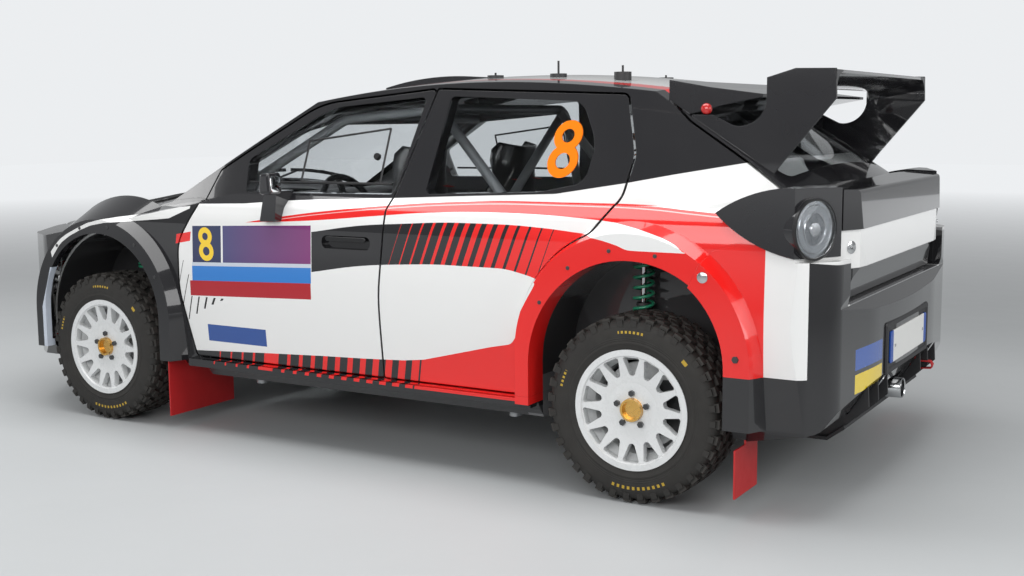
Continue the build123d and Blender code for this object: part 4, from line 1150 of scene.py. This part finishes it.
def make_tow_loops():
    """Webbing loops under the nose and the tail."""
    y = -0.36
    outline = [(-0.05, 0), (0.008, 0), (0.016, -0.012), (0.012, -0.026), (-0.05, -0.030)]
    for name, x, z, k in (("front", 2.030, 0.275, 1), ("rear", -2.036, 0.345, -1)):
        loop = [(x + k * out, y, z + rise) for out, rise in outline]
        piece(f"tow_loop_{name}", section_path(loop, rectangle(0.016, 0.002)), "red_strap", smooth=60)


def make_roof():
    """Dark sheet across the roof scoop's mouth as painted shade, with upright blades."""
    across = steps(-0.172, 0.172, 12)
    mouth_x, lip_z = 0.1515, 1.4265
    # The dark sheet is painted shade, where the scoop's duct lies in shadow.
    mouth = sheet_of([[(mouth_x, y, on_top("roof_panel", 0.16, y, 0.003).z) for y in across],
                      [(mouth_x, y, lip_z) for y in across]])
    piece("scoop_shade_sheet", mouth, "rubber_and_shade_black", thick=0.002)
    blades = [box((0.010, 0.004, 0.022), (mouth_x + 0.0025, y, lip_z - 0.010)) for y in steps(-0.14, 0.14, 7)]
    piece("scoop_blades", joined(*blades), "black_trim", bevel=0.001)


def make_exhaust_tip():
    profile = [(0.034, 0.0), (0.038, 0.004), (0.038, 0.070), (0.036, 0.073), (0.033, 0.070), (0.033, 0.0)]
    tip = moved(lathe(profile, 48, True), facing_out((-1.955, 0, 0.305), (-1, 0, 0)))
    piece("exhaust_tip", tip, "chrome")


# Seats

# Stations along the seat's middle line, from its front edge to its head: x, z, half width, depth of the sides
SEAT_LINE = [
    (0.200, 0.440, 0.205, 0.040), (0.150, 0.448, 0.212, 0.070), (0.080, 0.440, 0.216, 0.105),
    (0.000, 0.432, 0.218, 0.140), (-0.070, 0.440, 0.218, 0.165), (-0.115, 0.480, 0.218, 0.175),
    (-0.140, 0.550, 0.216, 0.175), (-0.155, 0.640, 0.214, 0.165), (-0.170, 0.740, 0.214, 0.155),
    (-0.185, 0.840, 0.214, 0.140), (-0.197, 0.920, 0.208, 0.110), (-0.208, 0.985, 0.188, 0.075),
    (-0.218, 1.035, 0.158, 0.085), (-0.228, 1.085, 0.140, 0.120), (-0.238, 1.135, 0.132, 0.125),
    (-0.246, 1.172, 0.118, 0.100),
]

# Pads of a seat: station from and to, across from and to, thickness
PADS = {
    "base": (0.4, 4.2, -0.62, 0.62, 0.030),
    "back": (5.6, 10.4, -0.60, 0.60, 0.028),
    "head": (12.3, 14.6, -0.55, 0.55, 0.024),
    "thigh_left": (0.8, 4.4, 0.80, 0.97, 0.016),
    "thigh_right": (0.8, 4.4, -0.97, -0.80, 0.016),
    "waist_left": (6.2, 10.0, 0.80, 0.97, 0.018),
    "waist_right": (6.2, 10.0, -0.97, -0.80, 0.018),
    "ear_left": (12.5, 14.4, 0.74, 0.96, 0.014),
    "ear_right": (12.5, 14.4, -0.96, -0.74, 0.014),
}
PAD_BASE = 0.003


def seat_point(station, across, lift):
    """Point of the seat: station along its line, across from -1 to 1, lifted off the shell."""
    low = min(int(station), len(SEAT_LINE) - 2)
    x, z, half, deep = (a + (b - a) * (station - low) for a, b in zip(SEAT_LINE[low], SEAT_LINE[low + 1]))
    ahead, behind = SEAT_LINE[max(0, low - 1)], SEAT_LINE[min(len(SEAT_LINE) - 1, low + 2)]
    along = Vector((behind[0] - ahead[0], 0, behind[1] - ahead[1])).normalized()
    normal = Vector((along.z, 0, -along.x))
    bend = abs(across) ** 4
    inward = Vector((0, -math.copysign(1, across) if across else 0, 0))
    spot = Vector((x, across * half, z)) + normal * (deep * bend)
    return spot + normal * (lift * (1 - bend)) + inward * (lift * bend)


def cushion(first, last, left, right, thick):
    """Crowned closed pad lying on the shell, with three sewn channels."""
    top, low = [], []
    for u in steps(0, 1, 14):
        station = first + (last - first) * u
        channel = 1 - 0.10 * math.exp(-(((u * 3) % 1 - 0.5) / 0.06) ** 2)
        upper, under = [], []
        for v in steps(0, 1, 12):
            across = left + (right - left) * v
            crown = (1 - abs(2 * u - 1) ** 6) * (1 - abs(2 * v - 1) ** 5)
            upper.append(seat_point(station, across, PAD_BASE + 0.004 + thick * crown ** 0.5 * channel))
            under.append(seat_point(station, across, PAD_BASE))
        top.append(upper)
        low.append(under)
    return closed_sheet(top, low)


def belt(*points):
    """Webbing 44 mm wide along smoothed points."""
    spots = [Vector(p) for p in points]
    for _ in range(2):
        cut = [spots[0]]
        for here, there in zip(spots, spots[1:]):
            cut += [here.lerp(there, 0.25), here.lerp(there, 0.75)]
        spots = cut + [spots[-1]]
    return section_path(spots, rectangle(0.022, 0.001))


def make_seats():
    """Bucket shells with loose pads, belts and feet, in place of the plain seats."""
    shell = sheet_of([[seat_point(station, across, 0.0) for across in steps(-1, 1, 28)]
                      for station in steps(0, len(SEAT_LINE) - 1, 45)])
    feet = joined(*[box((0.30, 0.006, 0.11), (0.035, y, 0.357)) for y in (-0.19, 0.19)],
                  *[box((0.34, 0.030, 0.008), (0.035, y, 0.306)) for y in (-0.19, 0.19)])
    belts = []
    for k in (1, -1):
        belts.append(belt((-0.245, k * 0.085, 1.02), (-0.185, k * 0.080, 1.030),
                          *[seat_point(station, k * 0.36, 0.046) for station in (10.2, 9.0, 7.6, 6.4, 5.6)],
                          (-0.055, k * 0.030, 0.545)))
        belts.append(belt(seat_point(5.2, k * 0.93, 0.022), seat_point(5.3, k * 0.70, 0.055),
                          (-0.050, k * 0.10, 0.535), (-0.040, k * 0.035, 0.530)))
    belts.append(belt((-0.040, 0, 0.52), (0.0, 0, 0.495), (0.055, 0, 0.480), (0.075, 0, 0.455)))
    buckle = moved(disc(0.028, 0.016, 32), facing_out((-0.040, 0, 0.535), (0.5, 0, 0.86)))
    for who, k in SIDES.items():
        y = k * SEAT_Y
        bucket = piece(f"seat_shell_{who}", shifted(shell, 0, y, 0), "carbon", thick=0.007)
        piece(f"seat_feet_{who}", shifted(feet, 0, y, 0), "dark_steel", bevel=0.002)
        if who == "left":
            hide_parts("seats")
        for name, limits in PADS.items():
            pad = piece(f"pad_{name}_{who}", shifted(cushion(*limits), 0, y, 0), "seat_cloth", smooth=80)
        piece(f"belts_{who}", shifted(joined(*belts), 0, y, 0), "red_strap", smooth=60)
        piece(f"buckle_{who}", shifted(buckle, 0, y, 0), "dark_steel")


# Cockpit and engine


def make_dash():
    """Display in front of the driver, and switches in the middle."""
    face = facing_out((0.4335, SEAT_Y, 0.925), (-1, 0, 0.12))
    display = plaque(0.012, (0.21, 0.105, -0.01), (0.21, 0.105, 0.018), (0.20, 0.095, 0.021))
    piece("dash_display", moved(display, face), "black_trim")
    screen = plaque(0.004, (0.17, 0.07, 0.0205), (0.17, 0.07, 0.0218))
    piece("display_screen", moved(screen, face), "screen_glow")
    panel_at = facing_out((0.4345, 0.0, 0.915), (-1, 0, 0.12))
    panel = plaque(0.010, (0.26, 0.105, -0.01), (0.26, 0.105, 0.008))
    piece("switch_panel", moved(panel, panel_at), "carbon", bevel=0.002)
    switch = joined(disc(0.009, 0.004, 16), cylinder((0, 0, 0), (0, 0.004, 0.020), 0.0032, 8))
    switches = [moved(switch, panel_at @ Matrix.Translation((x, y, 0.008)))
                for x in steps(-0.10, 0.10, 5) for y in (-0.025, 0.025)]
    piece("switches", joined(*switches), "chrome")


def make_levers():
    """Gear lever and hand brake, each with its knob."""
    gear_knob = [(0.0005, -0.03), (0.014, -0.026), (0.017, 0.0), (0.013, 0.022), (0.0005, 0.028)]
    brake_grip = [(0.0005, -0.06), (0.015, -0.056), (0.016, 0.05), (0.0005, 0.058)]
    gear_rod = [(0.42, 0.06, 0.40), (0.40, 0.06, 0.55), (0.36, 0.07, 0.72), (0.34, 0.09, 0.80)]
    brake_rod = [(0.30, -0.02, 0.40), (0.24, -0.02, 0.55), (0.22, -0.02, 0.70)]
    levers = joined(tube(gear_rod, 0.009, 12), lathe_at(gear_knob, (0.339, 0.093, 0.815), (-0.1, 0.2, 1)),
                    tube(brake_rod, 0.009, 12), lathe_at(brake_grip, (0.216, -0.02, 0.745), (-0.08, 0, 1)))
    piece("levers", levers, "dark_steel", smooth=50)


def make_pedals():
    """Three pedals in front of the driver, hung from above."""
    pedals = []
    for y, wide in ((SEAT_Y - 0.085, 0.045), (SEAT_Y, 0.060), (SEAT_Y + 0.085, 0.060)):
        pad = plaque(0.006, (wide, 0.085, 0), (wide, 0.085, 0.006))
        pedals.append(moved(pad, facing_out((0.585, y, 0.415), (-1, 0, 0.45))))
        pedals.append(cylinder((0.592, y, 0.41), (0.670, y, 0.70), 0.007, 10))
    piece("pedals", joined(*pedals), "steel", bevel=0.001)


def make_wheel_centre():
    """Bolted centre of the steering wheel, with buttons on its spokes."""
    tilt = math.radians(24)
    hub = facing_out((0.215, SEAT_Y, 0.905), (-math.cos(tilt), 0, math.sin(tilt)))
    middle = lathe([(0.036, 0.004), (0.036, 0.012), (0.030, 0.018), (0.0005, 0.019)], 40)
    bolts = [shifted(hex_bolt(0.004, 0.003), x, y, 0.0175)
             for x, y in round_spots(0.027, (0.3, 1.35, 2.4, 3.44, 4.49, 5.54))]
    piece("wheel_centre", moved(joined(middle, *bolts), hub), "carbon", "steering_wheel")
    buttons = [shifted(disc(0.008, 0.006, 20), x, 0, 0.003) for x in (0.075, -0.075, 0.105, -0.105)]
    piece("wheel_buttons", moved(joined(*buttons), hub), "lamp_red", "steering_wheel")


def make_fire_bottle():
    """Bottle lying across the car behind the seats, under two straps."""
    x, z = -0.42, 0.455
    profile = [(0.0005, -0.17), (0.045, -0.165), (0.052, -0.15), (0.052, 0.12), (0.030, 0.155), (0.014, 0.16),
               (0.014, 0.18), (0.0005, 0.182)]
    piece("fire_bottle", lathe_at(profile, (x, 0.0, z), (0, 1, 0)), "bottle_red")
    straps = [section_path([(x + a, y, z + b) for a, b in circle(0.054, 32)], rectangle(0.011, 0.001), True)
              for y in (-0.09, 0.07)]
    piece("bottle_straps", joined(*straps), "steel")


def make_engine_details():
    """Cover and cap on the engine, seen with the bonnet up."""
    x = 1.465
    cover = plaque(0.03, (0.30, 0.66, 0.738), (0.30, 0.66, 0.760), (0.27, 0.63, 0.772), (0.20, 0.56, 0.774))
    ribs = [box((0.24, 0.012, 0.006), (x, y, 0.776)) for y in steps(-0.24, 0.24, 8)]
    piece("engine_cover", joined(shifted(cover, x, 0, 0), *ribs), "carbon", bevel=0.003)
    cap = [(0.0005, 0.0), (0.026, 0.0), (0.026, 0.014), (0.018, 0.020), (0.0005, 0.020)]
    piece("oil_cap", lathe_at(cap, (1.42, -0.20, 0.774), (0, 0, 1)), "spring_green")


make_camera()
make_studio()
make_floor()

plain("rubber_red", "rubber_red", (0.50, 0.012, 0.014), 0.5, bump=0.1, scale=200)
plain("plastic", "plastic_black", (0.02, 0.02, 0.022), 0.55, bump=0.12, scale=400, edge=0.002)
plain("black_trim", "plastic_black", (0.012, 0.012, 0.013), 0.35, bump=0.05, scale=500)
# Black rubber, also used as painted shade in the roof scoop's mouth and under the bonnet's louvres.
plain("rubber_and_shade_black", "plastic_black", (0.012, 0.012, 0.012), 0.75, bump=0.1, scale=300)
plain("carbon", "plastic_black", (0.022, 0.022, 0.024), 0.30, bump=0.25, scale=900, Coat_Weight=0.6)
plain("steel", "guard_metal", (0.34, 0.35, 0.36), 0.38, bump=0.08, scale=300, Metallic=0.7)
plain("dark_steel", "cast_metal", (0.06, 0.06, 0.062), 0.45, bump=0.1, scale=300, Metallic=0.4)
plain("chrome", "guard_metal", (0.62, 0.63, 0.64), 0.16, Metallic=1.0)
plain("mirror_silver", "lamp_clear", (0.80, 0.82, 0.84), 0.03, Metallic=1.0)
plain("lamp_bowl", "lamp_clear", (0.66, 0.67, 0.68), 0.22, bump=0.15, scale=260, Metallic=0.9)
plain("lamp_red", "rubber_red", (0.55, 0.010, 0.008), 0.15, bump=0.06, scale=300, Coat_Weight=0.8)
plain("bottle_red", "rubber_red", (0.60, 0.015, 0.012), 0.25, bump=0.03, scale=100, Coat_Weight=0.6)
plain("red_strap", "rubber_red", (0.46, 0.012, 0.014), 0.75, bump=0.5, scale=1400)
plain("cage_paint", "cage_steel", (0.32, 0.33, 0.34), 0.3, edge=0.002)
plain("spring_green", "spring_green", (0.030, 0.300, 0.160), 0.30, bump=0.03, scale=200, Coat_Weight=0.5)
plain("seat_cloth", "seat_cloth", (0.030, 0.030, 0.033), 0.92, bump=0.7, scale=900)
plain("screen_glow", "plastic_black", (0.010, 0.016, 0.022), 0.08, Coat_Weight=1.0)
plate_look()
glass_look("glass", (0.80, 0.82, 0.83))
glass_look("windscreen_glass", (0.80, 0.82, 0.83), frit)
glass_look("rear_glass", (0.72, 0.74, 0.75), rear_number)
glass_look("lamp_clear", (0.90, 0.91, 0.92), slot="lamp_clear")
gloss("black_gloss", black_paint, 0.12)
for paint in (shell_paint, front_door_paint, rear_door_paint, wing_paint, rear_bumper_paint, tailgate_paint,
              front_bumper_paint):
    gloss(paint.__name__, paint)

dress("shell_paint", "body_shell", "side_skirts", "front_frame", "firewall", "front_rails", "floor_pan",
      "centre_tunnel", "roof_panel")
dress("front_door_paint", *both("front_door"))
dress("rear_door_paint", *both("rear_door"))
dress("wing_paint", "front_wings")
dress("rear_bumper_paint", "rear_bumper")
dress("tailgate_paint", "tailgate")
dress("front_bumper_paint", "front_bumper")
dress("black_gloss", "bonnet", "tail_lamps", "rear_wing", *both("mirror"), "roof_scoop")
dress("plastic", "grille", "diffuser", "roof_aerials", "dashboard", "steering_wheel")
dress("rubber_red", "mud_flaps")
dress("glass", "tailgate_glass", *both("front_glass"))
dress("windscreen_glass", "windscreen")
dress("rear_glass", *both("rear_glass"))
dress("lamp_clear", "headlamps")
dress("steel", "exhaust", "engine_block", "underguard", "jack_sockets")
dress("cage_paint", "roll_cage")
dress("dark_steel", "front_subframe", "rear_suspension", "drive_shafts", *both("front_knuckle"))
for end in AXLE_X:
    wheel_look(end)
    dress(f"wheel_{end}", *both(f"wheel_{end}"))
    tyre_look(end)
    for side in SIDES:
        make_tyre(end, side)

make_struts()
make_rear_lamps()
make_number_plate()
make_fasteners()
make_door_details()
make_wipers()
make_bonnet_vents()
make_headlamps()
make_grille()
make_tow_loops()
make_roof()
make_exhaust_tip()
make_seats()
make_dash()
make_levers()
make_pedals()
make_wheel_centre()
make_fire_bottle()
make_engine_details()
